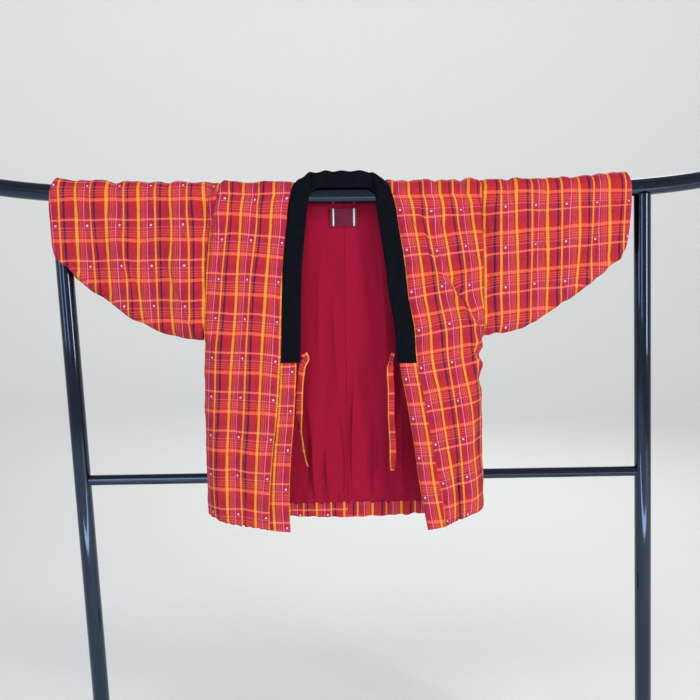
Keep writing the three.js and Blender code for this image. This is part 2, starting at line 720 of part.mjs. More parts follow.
function crossbarGeometry() {
  const drop = CROSSBAR_DROP;
  const from = postX(-1, drop) + POST_RADIUS - 6;
  const to = postX(1, drop) - POST_RADIUS + 6;
  const bar = new THREE.CylinderGeometry(CROSSBAR_RADIUS, CROSSBAR_RADIUS, to - from, ROUND_SIDES);
  bar.rotateZ(Math.PI / 2);
  bar.translate((from + to) / 2, 0, RAIL_Z - drop);
  const posts = [-1, 1].map((sign) => toSolid(leaningTube(sign, POST_RADIUS + GAP, 700, 1000)));
  return keepLargest(toSolid(bar).subtract(posts[0]).subtract(posts[1]));
}

function footGeometry(sign) {
  const half = { x: FOOT.width / 2, y: FOOT.depth / 2 };
  const c = FOOT.corner;
  const shape = new THREE.Shape();
  shape.moveTo(-half.x + c, -half.y);
  shape.lineTo(half.x - c, -half.y);
  shape.absarc(half.x - c, -half.y + c, c, -Math.PI / 2, 0);
  shape.lineTo(half.x, half.y - c);
  shape.absarc(half.x - c, half.y - c, c, 0, Math.PI / 2);
  shape.lineTo(-half.x + c, half.y);
  shape.absarc(-half.x + c, half.y - c, c, Math.PI / 2, Math.PI);
  shape.lineTo(-half.x, -half.y + c);
  shape.absarc(-half.x + c, -half.y + c, c, Math.PI, 1.5 * Math.PI);
  const bar = new THREE.ExtrudeGeometry(shape, { depth: FOOT.height, bevelEnabled: false, curveSegments: 5 });
  bar.translate(footX(sign), 0, 0);
  return bar;
}

function socketGeometry(sign) {
  const ring = leaningTube(sign, SOCKET.radius, FOOT.height + GAP, FOOT.height + SOCKET.height);
  const bore = leaningTube(sign, POST_RADIUS + GAP, FOOT.height - 40, FOOT.height + SOCKET.height + 40);
  return cut(ring, bore);
}

const group = new THREE.Group();

function add(name, geometry, color, roughness, metalness = 0) {
  const material = new THREE.MeshStandardMaterial({ color, roughness, metalness });
  const mesh = new THREE.Mesh(geometry, material);
  mesh.name = name;
  group.add(mesh);
}

const PLAID = '#c4262c';
const VELVET = '#0e0f18';
const LINING = '#8f1230';
const LACQUER = '#14171d';

const collarRoom = bandWall(GAP);
for (const side of [LEFT, RIGHT]) {
  add(`body_${side.name}`, cut(bodyWall(side), collarRoom), PLAID, 0.85);
  add(`sleeve_${side.name}`, sleeveWall(side), PLAID, 0.85);
  add(`collar_strip_${side.name}`, stripWall(side), PLAID, 0.85);
  add(`lining_${side.name}`, liningWall(side), LINING, 0.8);
  add(`hem_facing_${side.name}`, facingWall(side), PLAID, 0.85);
  add(`tie_${side.name}`, tieGeometry(side), PLAID, 0.85);
}
add('collar_velvet', bandWall(0), VELVET, 0.95);
add('neck_label', labelWall(), '#5c1024', 0.7);
add('rail', railPiece(-POST_X, POST_X, 20), LACQUER, 0.18, 0.1);
for (const sign of [-1, 1]) {
  const name = sign < 0 ? 'left' : 'right';
  add(`rail_end_${name}`, railPiece(sign * (POST_X + GAP), sign * RAIL_HALF, 8), LACQUER, 0.18, 0.1);
  add(`post_${name}`, postGeometry(sign), LACQUER, 0.18, 0.1);
  add(`post_socket_${name}`, socketGeometry(sign), LACQUER, 0.3, 0.1);
  add(`foot_${name}`, footGeometry(sign), LACQUER, 0.3, 0.1);
}
add('crossbar', crossbarGeometry(), LACQUER, 0.18, 0.1);

export default group;
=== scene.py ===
# %% [markdown]
# # A padded hanten jacket on a kimono rack
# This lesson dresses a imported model: every solid of the jacket gets cloth with folds, seams and a
# woven check, and the rack gets black lacquer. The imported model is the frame, so each piece is
# worked out in the same millimetres and only turned into metres when its mesh is made.

# %% Load the frame
import math

import bpy
import numpy as np
from mathutils import Matrix, Vector


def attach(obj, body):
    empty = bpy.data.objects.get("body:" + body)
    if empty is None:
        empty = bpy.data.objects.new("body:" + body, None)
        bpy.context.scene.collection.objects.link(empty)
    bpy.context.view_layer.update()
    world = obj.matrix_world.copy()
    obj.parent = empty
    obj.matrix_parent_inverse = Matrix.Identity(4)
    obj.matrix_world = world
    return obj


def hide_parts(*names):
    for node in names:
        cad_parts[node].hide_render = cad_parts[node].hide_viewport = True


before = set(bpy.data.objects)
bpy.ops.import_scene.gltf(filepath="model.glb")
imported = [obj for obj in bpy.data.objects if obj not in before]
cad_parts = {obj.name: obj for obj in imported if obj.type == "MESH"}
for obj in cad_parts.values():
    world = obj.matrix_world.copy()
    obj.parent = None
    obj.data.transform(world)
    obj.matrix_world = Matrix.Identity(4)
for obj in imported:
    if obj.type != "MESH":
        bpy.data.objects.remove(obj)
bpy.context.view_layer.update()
MM = 0.001

# %% [markdown]
# The camera is set first, because all cloth is compared with the photograph through it. It stands
# about two metres in front of the rail, a little below it, looks slightly down and to the right,
# and is rolled by less than a degree, so the rail rises to the right as it does in the photograph.

# %% Camera
scene = bpy.context.scene
FRAME_PX = 700
FOCAL_PX = 900
SENSOR_MM = 36
EYE = Vector((-52.8, -2050.7, 1407.4)) * MM
PITCH = math.radians(7.485)
YAW = math.radians(1.213)
ROLL = math.radians(-0.676)


def camera_axes():
    """Right, up and forward of the camera from its three angles."""
    ahead = Vector((math.sin(YAW) * math.cos(PITCH), math.cos(YAW) * math.cos(PITCH), -math.sin(PITCH)))
    level = Vector((math.cos(YAW), -math.sin(YAW), 0))
    above = level.cross(ahead)
    right = level * math.cos(ROLL) + above * math.sin(ROLL)
    up = above * math.cos(ROLL) - level * math.sin(ROLL)
    return right, up, ahead


camera_data = bpy.data.cameras.new("photo_camera")
camera_data.sensor_fit = "HORIZONTAL"
camera_data.sensor_width = SENSOR_MM
camera_data.lens = SENSOR_MM * FOCAL_PX / FRAME_PX
camera = bpy.data.objects.new("photo_camera", camera_data)
scene.collection.objects.link(camera)
right, up, ahead = camera_axes()
turn = Matrix((right, up, -ahead)).transposed().to_4x4()
camera.matrix_world = Matrix.Translation(EYE) @ turn
scene.camera = camera
scene.view_settings.view_transform = "Standard"
print("camera lens", round(camera_data.lens, 2), "mm")

# %% [markdown]
# The jacket's sizes are the driving dimensions of its solids, repeated here because this file reads
# only the frame. Reach is measured sideways from the centre-back seam, drop downwards from the
# middle of the rail. Each table has named columns, and one smooth curve runs through its rows.

# %% Sizes and tables
POST_X = 656.0
RAIL_Z = 1500.0
RAIL_SAG = 11.0
RAIL_BEND_POWER = 4.6
RAIL_RADIUS = 19.0
RAIL_MID_Z = RAIL_Z - RAIL_SAG
CENTRE_X = -20.0
HALF_WALL = 6.0
SADDLE = 25.6
SKIN = SADDLE + HALF_WALL
HEM_DROP = 743.0
HEM_DEPTH = 84.0
DEPTH_POWER = 1.3
SWING = 47.5
BAR_DROP = 648.0
EDGE_TILT = 10.0
ARMPIT_DROP = 320.0
ARMPIT_ROUND = 50.0
ARMPIT_EASE = 7.0
SHOULDER_RISE = -26.0
SHOULDER_EASE = 30.0
VELVET_END = 368.0
VELVET_WIDTH = 43.0
LINING_TOP = 12.0
FACING_TOP = 700.0
SEAM_GAP = 0.3
TOUCH = 0.05
HEM = {"front_edge": 743.0, "front": 738.0, "front_side": 712.0, "back": 735.0, "back_side": 714.0}


def table(columns, *rows):
    """Rows of numbers as one array for each named column."""
    return dict(zip(columns.split(), np.array(rows, float).T))


NECK_TURN = (0, 15, 30, 45, 60, 74, 84, 92, 98, 103, 109, 115, 130, 147, 164, 180)
NECK_SEAM_TURN = (0, 15, 30, 45, 60, 74, 85, 94, 100, 103.5, 105, 106, 124, 143, 162, 180)
NECK_BACK_REACH = (0.15,) * 5


def neck_table(*reach):
    """Rows over the rail: the turn of the panel and of its collar seam, and the seam's reach."""
    rows = zip(range(16), NECK_TURN, NECK_SEAM_TURN, reach + NECK_BACK_REACH)
    return table("row turn seam_turn reach", *rows)


LEFT = {
    "name": "left",
    "sign": -1,
    "side_back": 4,
    "velvet_end": VELVET_END,
    "cuff_lift": 0,
    "armhole_ridge": 1.0,
    "front_round": 46,
    "back_round": 44,
    "edges": table(
        "drop seam side",
        (-26, 108, 275), (0, 119, 280), (76, 129, 296), (164, 138, 307), (249, 141, 311),
        (366, 145, 313), (502, 156, 313), (573, 165, 313), (681, 174, 312), (743, 174, 311),
    ),
    "strip": table("drop width", (368, 35), (502, 38), (743, 46)),
    "cuff": table(
        "drop reach",
        (-32, 640), (4, 650), (85, 650), (124, 648), (142, 643), (152, 634), (160, 622), (172, 604),
    ),
    "under": table(
        "reach drop",
        (313, 320), (338, 316), (373, 309), (417, 299), (457, 280), (492, 264), (525, 234), (565, 206),
        (604, 172),
    ),
    "neck": neck_table(119, 117.5, 116, 114, 112, 110, 106, 100, 86, 60, 30),
    "turn": table(
        "row seam seam_y seam_z free free_y free_z",
        (0, 119, -26, -8, 77, -28, -10), (1, 116, -25, 9, 76, -29, 10), (2, 112, -17, 21, 75, -22, 25),
        (3, 106, -6, 27, 74, -12, 38), (4, 97, -1, 25, 71, -7, 48), (5, 84, -1.6, 21, 64, -6, 51),
        (6, 64, -1.8, 19.8, 54, -5, 53), (7, 34, -1.8, 19.8, 32, -5, 53.5),
    ),
    "tie": table(
        "reach drop",
        (93.4, 348), (89, 361), (97, 378), (103, 420), (106, 490), (102, 550), (95, 590), (89, 606),
    ),
}
RIGHT = {
    "name": "right",
    "sign": 1,
    "side_back": 22,
    "velvet_end": VELVET_END + 4,
    "cuff_lift": 6,
    "armhole_ridge": 0.5,
    "front_round": 62,
    "back_round": 26,
    "edges": table(
        "drop seam side",
        (-26, 93, 308), (0, 108, 308), (77, 122, 309), (156, 134, 310), (227, 141, 310), (297, 153, 308),
        (368, 157, 300), (452, 172, 303), (522, 184, 305), (606, 198, 306), (693, 212, 308),
        (743, 214, 308),
    ),
    "strip": table("drop width", (368, 38), (537, 40), (692, 44), (743, 37)),
    "cuff": table("drop reach", (-32, 641), (7, 645), (69, 643), (114, 638), (133, 634), (143, 628)),
    "under": table(
        "reach drop",
        (308, 320), (326, 312), (362, 309), (404, 299), (445, 279), (486, 252), (527, 226), (563, 198),
        (603, 163), (628, 143),
    ),
    "neck": neck_table(108, 106, 104, 101.5, 99, 96, 92, 86, 74, 54, 28),
    "turn": table(
        "row seam seam_y seam_z free free_y free_z",
        (0, 108, -26, -8, 72, -28, -10), (1, 104, -25, 9, 70, -29, 10), (2, 99, -17, 21, 68, -22, 25),
        (3, 92, -6, 27, 65, -12, 38), (4, 84, -1, 25, 61, -7, 48), (5, 73, -1.6, 21, 56, -6, 51),
        (6, 56, -1.8, 19.8, 48, -5, 53), (7, 30, -1.8, 19.8, 28, -5, 53.5),
    ),
    "tie": table(
        "reach drop",
        (105.2, 350), (101, 364), (98, 392), (100, 435), (100, 495), (103, 555), (103, 600), (102, 619),
    ),
}
SIDES = (LEFT, RIGHT)
print("tables for", [side["name"] for side in SIDES])

# %% [markdown]
# Folds are ridges drawn from one point to another on the front or the back. A positive height stands
# out, a negative one sinks in. The first lists are the large folds of the solids, and the second
# ones are the smaller creases that only the cloth of this lesson has.

# %% Folds
FOLD_COLUMNS = "x1 drop1 x2 drop2 width height"
FRONT_FOLDS = table(
    FOLD_COLUMNS,
    (150, 20, 186, 172, 20, 7), (186, 172, 290, 296, 18, 9), (240, 10, 285, 220, 26, 5),
    (250, 380, 232, 720, 26, 6), (300, 345, 262, 470, 20, 6), (-552, 8, -482, 280, 26, 8),
    (-400, 40, -372, 300, 24, 6), (-270, 30, -288, 420, 26, 6), (-215, 60, -236, 700, 24, 5),
    (380, 20, 352, 300, 26, 6), (500, 20, 470, 220, 28, 6),
)
BACK_FOLDS = table(
    FOLD_COLUMNS,
    (-250, 120, -220, 740, 34, -8), (-110, 200, -90, 750, 30, -7), (60, 160, 74, 750, 32, -7),
    (200, 110, 214, 740, 34, -8), (-500, 20, -430, 270, 28, -7), (470, 20, 420, 270, 28, -7),
)
FRONT_CREASES = table(
    FOLD_COLUMNS,
    (-314, -45, -330, 95, 12, -9), (-296, -45, -316, 90, 11, 4), (-620, -30, -606, 150, 13, 2.5),
    (-586, -30, -572, 120, 9, -2.2), (-470, -20, -455, 230, 12, -2.5), (-430, 120, -350, 318, 9, -2.5),
    (-520, 70, -468, 262, 9, -3), (-346, 190, -318, 320, 8, 3), (-398, 225, -330, 322, 7, 2.5),
    (-262, 380, -272, 715, 12, -3), (-186, 150, -205, 640, 14, 2.5), (-300, 420, -292, 700, 9, 2.5),
    (-240, 600, -252, 742, 10, -3), (-200, 640, -206, 744, 8, 2.5),
    (170, 60, 208, 180, 9, -4), (206, 184, 262, 262, 8, -5), (262, 262, 296, 318, 7, -4),
    (190, 20, 250, 160, 10, 3), (256, 316, 292, 352, 7, 4), (252, 340, 290, 372, 6, -4),
    (262, 368, 291, 396, 6, 3.5), (270, 396, 288, 440, 7, -3), (236, 420, 262, 560, 10, 3),
    (266, 480, 276, 640, 8, -3), (214, 560, 236, 736, 9, -3), (246, 600, 262, 738, 8, 3),
    (330, -20, 322, 300, 10, 3.5), (300, 20, 306, 300, 8, -4), (420, 10, 396, 270, 10, -2.5),
    (446, 0, 430, 210, 9, 2.5), (560, -20, 530, 170, 12, -2.5), (590, -10, 575, 140, 9, 2.2),
)
BACK_CREASES = table(
    FOLD_COLUMNS,
    (-290, 20, -270, 400, 14, -3), (-180, 60, -172, 520, 14, 3), (-60, 300, -48, 742, 11, -3),
    (20, 240, 12, 700, 12, 3), (120, 120, 140, 640, 14, -3), (250, 60, 262, 420, 12, 3),
    (-420, 30, -350, 300, 12, -3), (-560, 20, -520, 190, 12, 3), (400, 30, 350, 300, 12, -3),
    (560, 20, 520, 170, 12, 3), (-330, 200, -300, 330, 9, -3), (330, 200, 296, 330, 9, -3),
)
LINING_CREASES = table(
    FOLD_COLUMNS,
    (-66, 560, -58, 704, 7, 3.2), (-40, 500, -31, 704, 6, -3), (4, 380, -6, 704, 7, 3.4),
    (26, 430, 30, 704, 6, -3), (52, 480, 46, 704, 6, 3), (78, 540, 86, 704, 7, -3),
    (104, 470, 110, 704, 8, 3), (-96, 520, -92, 704, 7, 2.8), (-118, 460, -112, 690, 9, -2.6),
    (-14, 60, -22, 330, 12, 2.2), (44, 50, 58, 420, 16, -2.6), (64, 90, 84, 560, 14, 2.4),
    (-70, 90, -84, 460, 14, 2), (18, 260, 28, 560, 12, -2), (-44, 210, -34, 470, 10, 1.8),
    (96, 240, 104, 520, 10, -2.2),
)
ALL_FOLDS = (FRONT_FOLDS, BACK_FOLDS, FRONT_CREASES, BACK_CREASES, LINING_CREASES)
print("folds:", sum(len(folds["x1"]) for folds in ALL_FOLDS))

# %% [markdown]
# Cloth is worked out on whole arrays of points at once, so these few functions take arrays. The
# front and the back hang from the rail, lean forward to pass in front of the crossbar, and part
# towards the hem.

# %% How the jacket hangs
def smooth(value):
    """0 below 0, 1 above 1, and an even S between."""
    t = np.clip(value, 0, 1)
    return t * t * (3 - 2 * t)


def rise(value, start, span):
    """0 up to the start, 1 once the span after it is past, and an even S between."""
    return smooth((value - start) / span)


def mix(start, end, share):
    """The value that lies share of the way from start to end."""
    return start + (end - start) * share


def read(rows, key, column, at):
    """A table's column at a key between its rows, along one smooth curve."""
    keys = rows[key]
    values = rows[column]
    x = np.clip(np.asarray(at, float), keys[0], keys[-1])
    i = np.clip(np.searchsorted(keys, x, side="right") - 1, 0, len(keys) - 2)
    slopes = np.diff(values) / np.diff(keys)
    here = slopes[i]
    before = np.where(i > 0, (slopes[np.maximum(i - 1, 0)] + here) / 2, here)
    after = np.where(i + 2 < len(keys), (here + slopes[np.minimum(i + 1, len(slopes) - 1)]) / 2, here)
    span = keys[i + 1] - keys[i]
    t = (x - keys[i]) / span
    u = 1 - t
    curve = u * u * (1 + 2 * t) * values[i] + t * t * (3 - 2 * t) * values[i + 1]
    return curve + t * u * u * span * before - t * t * u * span * after


def rail_rise(x):
    """How far the sagging rail stands above its middle."""
    return RAIL_SAG * (np.abs(x) / POST_X) ** RAIL_BEND_POWER


def table_rows(rows, columns):
    """A table's rows one by one, with the named columns in order."""
    return zip(*(rows[name] for name in columns.split()))


def beside_line(x, drop, x1, drop1, x2, drop2):
    """How far along a line points lie, 0 to 1 between its ends, and how far beside it in mm."""
    dx = x2 - x1
    dz = drop2 - drop1
    along = ((x - x1) * dx + (drop - drop1) * dz) / (dx * dx + dz * dz)
    away = ((x - x1) * dz - (drop - drop1) * dx) / math.hypot(dx, dz)
    return np.clip(along, 0, 1), away


def relief(folds, x, drop, power=2.0):
    """The height of all ridges at points of a layer; a lower power makes them sharper."""
    out = np.zeros(np.broadcast(x, drop).shape)
    for *line, width, height in table_rows(folds, FOLD_COLUMNS):
        along, away = beside_line(x, drop, *line)
        ridge = height * np.sin(math.pi * along) * np.exp(-((np.abs(away) / width) ** power))
        out = out + ridge
    return out


def opening(drop):
    return (np.maximum(0, drop) / HEM_DROP) ** DEPTH_POWER


def swing(drop):
    """How far the garment has swung forward at a drop, to clear the crossbar."""
    t = np.maximum(0, drop) / BAR_DROP
    eased = t - (t - 0.85) ** 2 / 0.6
    return SWING * np.where(t < 0.85, t, np.where(t > 1.15, 1, eased))


def back_y(drop):
    return SADDLE - swing(drop)


def front_y(drop):
    return back_y(drop) - 2 * SADDLE - (HEM_DEPTH - 2 * SADDLE) * opening(drop)


def middle_y(drop):
    return (front_y(drop) + back_y(drop)) / 2


def armhole_share(drop):
    """1 where a sleeve joins the side, 0 on the closed side seam."""
    into = np.clip((drop - (ARMPIT_DROP + ARMPIT_EASE - ARMPIT_ROUND)) / ARMPIT_ROUND, 0, 1)
    return np.sqrt(1 - into * into)


def side_seam_y(side, drop):
    return middle_y(drop) + side["side_back"] * rise(drop, ARMPIT_DROP, HEM_DROP - ARMPIT_DROP)


def layer_point(side, layer, inner, across, bend, drop):
    """Points on the middle of the front or back wall, and how far out each one reaches."""
    is_front = layer == "front"
    share = armhole_share(drop)
    full_round = side["front_round"] if is_front else side["back_round"]
    rounding = mix(SHOULDER_EASE, full_round, smooth(drop / HEM_DROP))
    edge = read(side["edges"], "drop", "side", drop)
    reach = mix(inner, edge - rounding, across) + rounding * np.sin(bend)
    x = CENTRE_X + side["sign"] * reach
    away = -1 if is_front else 1
    tilt = EDGE_TILT * opening(drop) * (1 - across) if is_front else 0
    folds = relief(FRONT_FOLDS if is_front else BACK_FOLDS, x, drop)
    seam_y = side_seam_y(side, drop)
    flat_y = (front_y(drop) if is_front else back_y(drop)) + away * tilt - seam_y
    turned = share + (1 - share) * np.cos(bend)
    lift = folds * np.minimum(1, across + 0.4) * turned
    y = seam_y + flat_y * turned + away * lift + away * SEAM_GAP / 2 * (1 - share)
    return np.stack([x, y, RAIL_MID_Z + rail_rise(x) - drop], axis=-1)


def over_point(side, reach, turn_deg):
    """Points on the arc over the rail; the turn is 0 at its front and 180 at its back."""
    angle = np.radians(turn_deg)
    x = CENTRE_X + side["sign"] * reach
    z = RAIL_MID_Z + rail_rise(x) + SADDLE * np.sin(angle)
    return np.stack([x, -SADDLE * np.cos(angle), z], axis=-1)


print("back of the hem stands at y", round(float(back_y(HEM["back"])), 1), "mm")

# %% [markdown]
# A padded wall is a grid of middle points, pushed out and in along its normals. It thins towards
# its sewn edges, which leaves the soft valley of a seam, and rounds off at its open hems. The wave
# function gives uneven shallow puckers from a few seeded sines, so each run gives the same cloth.

# %% Wall tools
def steps(count, first=0.0, last=1.0):
    return np.linspace(first, last, count + 1)


def normals(grid):
    """Unit normals of a grid of points."""
    down = np.gradient(grid, axis=0)
    across = np.gradient(grid, axis=1)
    normal = np.cross(across, down)
    return normal / np.maximum(np.linalg.norm(normal, axis=-1, keepdims=True), 1e-9)


def front_normals(grid, rows=slice(None)):
    """Normals of a grid, turned so that those of the given rows point to the front."""
    normal = normals(grid)
    return -normal if normal[rows, :, 1].mean() > 0 else normal


def lengths(grid, axis):
    """Length run along one axis of a grid up to each of its points."""
    spans = np.linalg.norm(np.diff(grid, axis=axis), axis=-1)
    start = np.zeros_like(np.take(spans, [0], axis=axis))
    return np.cumsum(np.concatenate([start, spans], axis=axis), axis=axis)


def end_distances(grid, axis):
    """Distance of each point from the first and from the last edge along one axis."""
    run = lengths(grid, axis)
    total = np.take(run, [-1], axis=axis)
    return run, total - run


def fade(distance, reach):
    """1 at no distance, dying away as a bell curve over the reach."""
    return np.exp(-(distance / reach) ** 2)


def round_off(distance, radius):
    """A wall's share of its thickness near an open, rounded edge."""
    t = np.clip(distance / radius, 0, 1)
    return np.sqrt(np.maximum(0, 1 - (1 - t) ** 2))


def sewn(distance, width, depth):
    """A wall's share of its thickness near a seam that pulls it thin."""
    return 1 - depth * (1 - smooth(distance / width))


def waves(seed, u, v, length, stretch=1.0):
    """Uneven waves between about -1 and 1, of one length, longer along v by stretch."""
    random = np.random.default_rng(seed)
    total = np.zeros(np.broadcast(u, v).shape)
    for _ in range(6):
        size = length * random.uniform(0.7, 1.6)
        angle = random.uniform(-0.6, 0.6)
        phase = random.uniform(0, 2 * math.pi)
        along = u * math.cos(angle) + v * math.sin(angle) / stretch
        total = total + np.sin(2 * math.pi * along / size + phase)
    return total / 3


def wall_mesh(name, outer, inner, uv, materials):
    """One closed shell from an outer and an inner grid. The inner face takes the second material."""
    rows, columns = outer.shape[:2]
    points = np.concatenate([outer.reshape(-1, 3), inner.reshape(-1, 3)]) * MM
    index = np.arange(rows * columns).reshape(rows, columns)
    behind = index + rows * columns

    def quads(a, b, c, d):
        return np.stack([a.ravel(), b.ravel(), c.ravel(), d.ravel()], axis=1)

    face = quads(index[:-1, :-1], index[1:, :-1], index[1:, 1:], index[:-1, 1:])
    back = quads(behind[:-1, :-1], behind[:-1, 1:], behind[1:, 1:], behind[1:, :-1])
    rims = [
        quads(index[0, :-1], index[0, 1:], behind[0, 1:], behind[0, :-1]),
        quads(index[-1, 1:], index[-1, :-1], behind[-1, :-1], behind[-1, 1:]),
        quads(index[1:, 0], index[:-1, 0], behind[:-1, 0], behind[1:, 0]),
        quads(index[:-1, -1], index[1:, -1], behind[1:, -1], behind[:-1, -1]),
    ]
    faces = np.concatenate([face, *rims, back])
    mesh = bpy.data.meshes.new(name)
    mesh.from_pydata(points.tolist(), [], faces.tolist())
    for material in materials:
        mesh.materials.append(material)
    slots = np.zeros(len(faces), dtype=np.int32)
    if len(materials) > 1:
        slots[-len(back):] = 1
    mesh.polygons.foreach_set("material_index", slots)
    flat_uv = np.concatenate([uv.reshape(-1, 2), uv.reshape(-1, 2)]) * MM
    layer = mesh.uv_layers.new(name="cloth")
    layer.data.foreach_set("uv", flat_uv[faces.ravel()].ravel())
    mesh.polygons.foreach_set("use_smooth", np.ones(len(faces), dtype=bool))
    mesh.validate()
    mesh.update()
    return mesh


def shell(name, grid, normal, half, uv, materials):
    """A closed shell around a grid of middle points, with half its thickness on each side."""
    thick = normal * np.asarray(half)[..., None]
    return wall_mesh(name, grid + thick, grid - thick, uv, materials)


def square_metres(grid):
    """The area of a grid of points in mm."""
    cells = np.cross(np.diff(grid, axis=0)[:, :-1], np.diff(grid, axis=1)[:-1])
    return round(float(np.linalg.norm(cells, axis=-1).sum()) * MM * MM, 3)


def outward(mesh):
    """Turns a closed shell so that its faces point outwards, judged by its volume."""
    count = len(mesh.vertices)
    points = np.empty(count * 3)
    mesh.vertices.foreach_get("co", points)
    points = points.reshape(-1, 3)
    mesh.calc_loop_triangles()
    triangles = np.empty(len(mesh.loop_triangles) * 3, dtype=np.int32)
    mesh.loop_triangles.foreach_get("vertices", triangles)
    a, b, c = (points[triangles.reshape(-1, 3)[:, k]] for k in range(3))
    if np.einsum("ij,ij->i", a, np.cross(b, c)).sum() < 0:
        mesh.flip_normals()


def piece(name, mesh, node):
    """Links a finished mesh as the piece that stands for a CAD node."""
    outward(mesh)
    made = bpy.data.objects.new(name, mesh)
    scene.collection.objects.link(made)
    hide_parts(*([node] if isinstance(node, str) else node))
    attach(made, "root")
    return made


print("wall tools ready")

# %% [markdown]
# Materials come before the pieces, so that each mesh can take its own. One function turns a hex
# colour to Blender's linear values, and one adds a node with its settings and links.

# %% Material tools
def linear(code, alpha=1.0):
    """A hex colour such as #c4262c as linear red, green, blue and alpha."""
    shares = [int(code[k:k + 2], 16) / 255 for k in (1, 3, 5)]
    return tuple(s / 12.92 if s <= 0.04045 else ((s + 0.055) / 1.055) ** 2.4 for s in shares) + (alpha,)


def add_node(tree, kind, inputs=None, **settings):
    """Adds a node, sets its properties, and feeds or sets its inputs."""
    made = tree.nodes.new(kind)
    for name, value in settings.items():
        setattr(made, name, value)
    for key, value in (inputs or {}).items():
        if isinstance(value, bpy.types.NodeSocket):
            tree.links.new(value, made.inputs[key])
        else:
            made.inputs[key].default_value = value
    return made


def maths(tree, operation, first, second=0.0, third=0.0):
    """The result of one Math node."""
    return add_node(tree, "ShaderNodeMath", {0: first, 1: second, 2: third}, operation=operation).outputs[0]


def new_material(name):
    """An empty material with its output, ready for nodes."""
    material = bpy.data.materials.new(name)
    material.use_nodes = True
    material.node_tree.nodes.clear()
    return material, material.node_tree


def finish_material(tree, inputs, height=None, relief_mm=0.1, strength=1.0):
    """A Principled surface, with a bump from a height between 0 and 1."""
    if height is not None:
        bump = {"Height": height, "Distance": relief_mm * MM, "Strength": strength}
        inputs["Normal"] = add_node(tree, "ShaderNodeBump", bump).outputs["Normal"]
    surface = add_node(tree, "ShaderNodeBsdfPrincipled", inputs)
    add_node(tree, "ShaderNodeOutputMaterial", {"Surface": surface.outputs[0]})


def blend(tree, share, first, second, how="MIX"):
    """Two colours mixed by a share."""
    made = add_node(tree, "ShaderNodeMix", {0: share, 6: first, 7: second}, data_type="RGBA", blend_type=how)
    return made.outputs[2]


def ramp(tree, share, stops, smooth_steps=True):
    """Colour and alpha along stops of position, hex colour and alpha."""
    made = add_node(tree, "ShaderNodeValToRGB", {0: share})
    made.color_ramp.interpolation = "LINEAR" if smooth_steps else "CONSTANT"
    elements = made.color_ramp.elements
    elements.remove(elements[1])
    elements[0].position = stops[0][0]
    elements[0].color = linear(*stops[0][1:])
    for position, code, alpha in stops[1:]:
        elements.new(position).color = linear(code, alpha)
    return made.outputs["Color"], made.outputs["Alpha"]


print("red ground in linear values:", [round(v, 3) for v in linear("#c4262c")])

# %% [markdown]
# The plaid is a yarn-dyed plain-weave cotton. Its warp stripes are yellow, navy, coral and pink, its
# weft stripes coral and pink, and small pale dots are woven in where neither has a stripe. The
# pattern is worked out from the cloth's own UV map in metres, so it bends with every fold. A stripe
# covers the other direction only in part, which gives the lighter squares where stripes cross.

# %% Plaid cotton
WARP_REPEAT = 73.0
WEFT_REPEAT = 88.0
WARP_STRIPES = (
    (0.2, 3.7, "#e09c1c", 0.80), (10.4, 4.4, "#17163c", 0.87), (34.1, 5.7, "#de9a1a", 0.83),
    (44.2, 1.4, "#e8806c", 0.36), (48.0, 1.4, "#e8806c", 0.34), (52.0, 1.4, "#e4707c", 0.32),
    (57.2, 1.6, "#f49cbc", 0.50),
)
WEFT_STRIPES = (
    (3.9, 4.4, "#f87458", 0.66), (23.0, 1.4, "#ee84a4", 0.38), (30.2, 1.5, "#e4705c", 0.36),
    (35.0, 1.5, "#e4705c", 0.36), (39.8, 1.5, "#e4705c", 0.36), (46.8, 7.2, "#f4684a", 0.66),
)
WARP_GROUND = (
    (0.0, "#be2236"), (0.12, "#a81b38"), (0.26, "#c6222c"), (0.5, "#b81f2b"), (0.66, "#c02a34"),
    (0.82, "#aa1b42"), (0.92, "#a81d46"), (1.0, "#be2236"),
)
WEFT_GROUND = (
    (0.0, "#b31f3e"), (0.14, "#a21c44"), (0.3, "#c02830"), (0.55, "#c6252a"), (0.72, "#bc1f2c"),
    (0.88, "#98183a"), (1.0, "#b31f3e"),
)
WARP_START = 2.1
WEFT_START = 2.3
DOT = {"warp": 66.0, "weft": 18.5, "inner": 1.7, "outer": 2.8}
WEAVE = {"spacing": 1.3, "share": 0.03, "relief": 6.0}


def stripe_stops(stripes, repeat):
    """Stops of one repeat: nothing before the first stripe or after each of them."""
    stops = [(0.0, stripes[0][2], 0.0)]
    for start, width, code, cover in stripes:
        stops.append((start / repeat, code, cover))
        stops.append(((start + width) / repeat, code, 0.0))
    return stops


def ground_stops(colours):
    return [(position, code, 1.0) for position, code in colours]


def cloth_axis(tree, coordinate, repeat, shift):
    """Where a point lies in its repeat, from 0 to 1."""
    return maths(tree, "FRACT", maths(tree, "MULTIPLY_ADD", coordinate, 1 / (repeat * MM), shift / repeat))


def weave_height(tree, warp, weft, spacing):
    """Crossing threads as a height; real threads are finer than a picture shows."""
    over = maths(tree, "SINE", maths(tree, "MULTIPLY", warp, 2 * math.pi / (spacing * MM)))
    under = maths(tree, "SINE", maths(tree, "MULTIPLY", weft, 2 * math.pi / (spacing * MM)))
    return maths(tree, "MULTIPLY_ADD", maths(tree, "MULTIPLY", over, under), 0.5, 0.5)


def cloth_place(tree):
    """The cloth's own coordinates in metres: across the warp, and along it."""
    uv = add_node(tree, "ShaderNodeUVMap", uv_map="cloth")
    place = add_node(tree, "ShaderNodeSeparateXYZ", {0: uv.outputs[0]})
    return place.outputs[0], place.outputs[1]


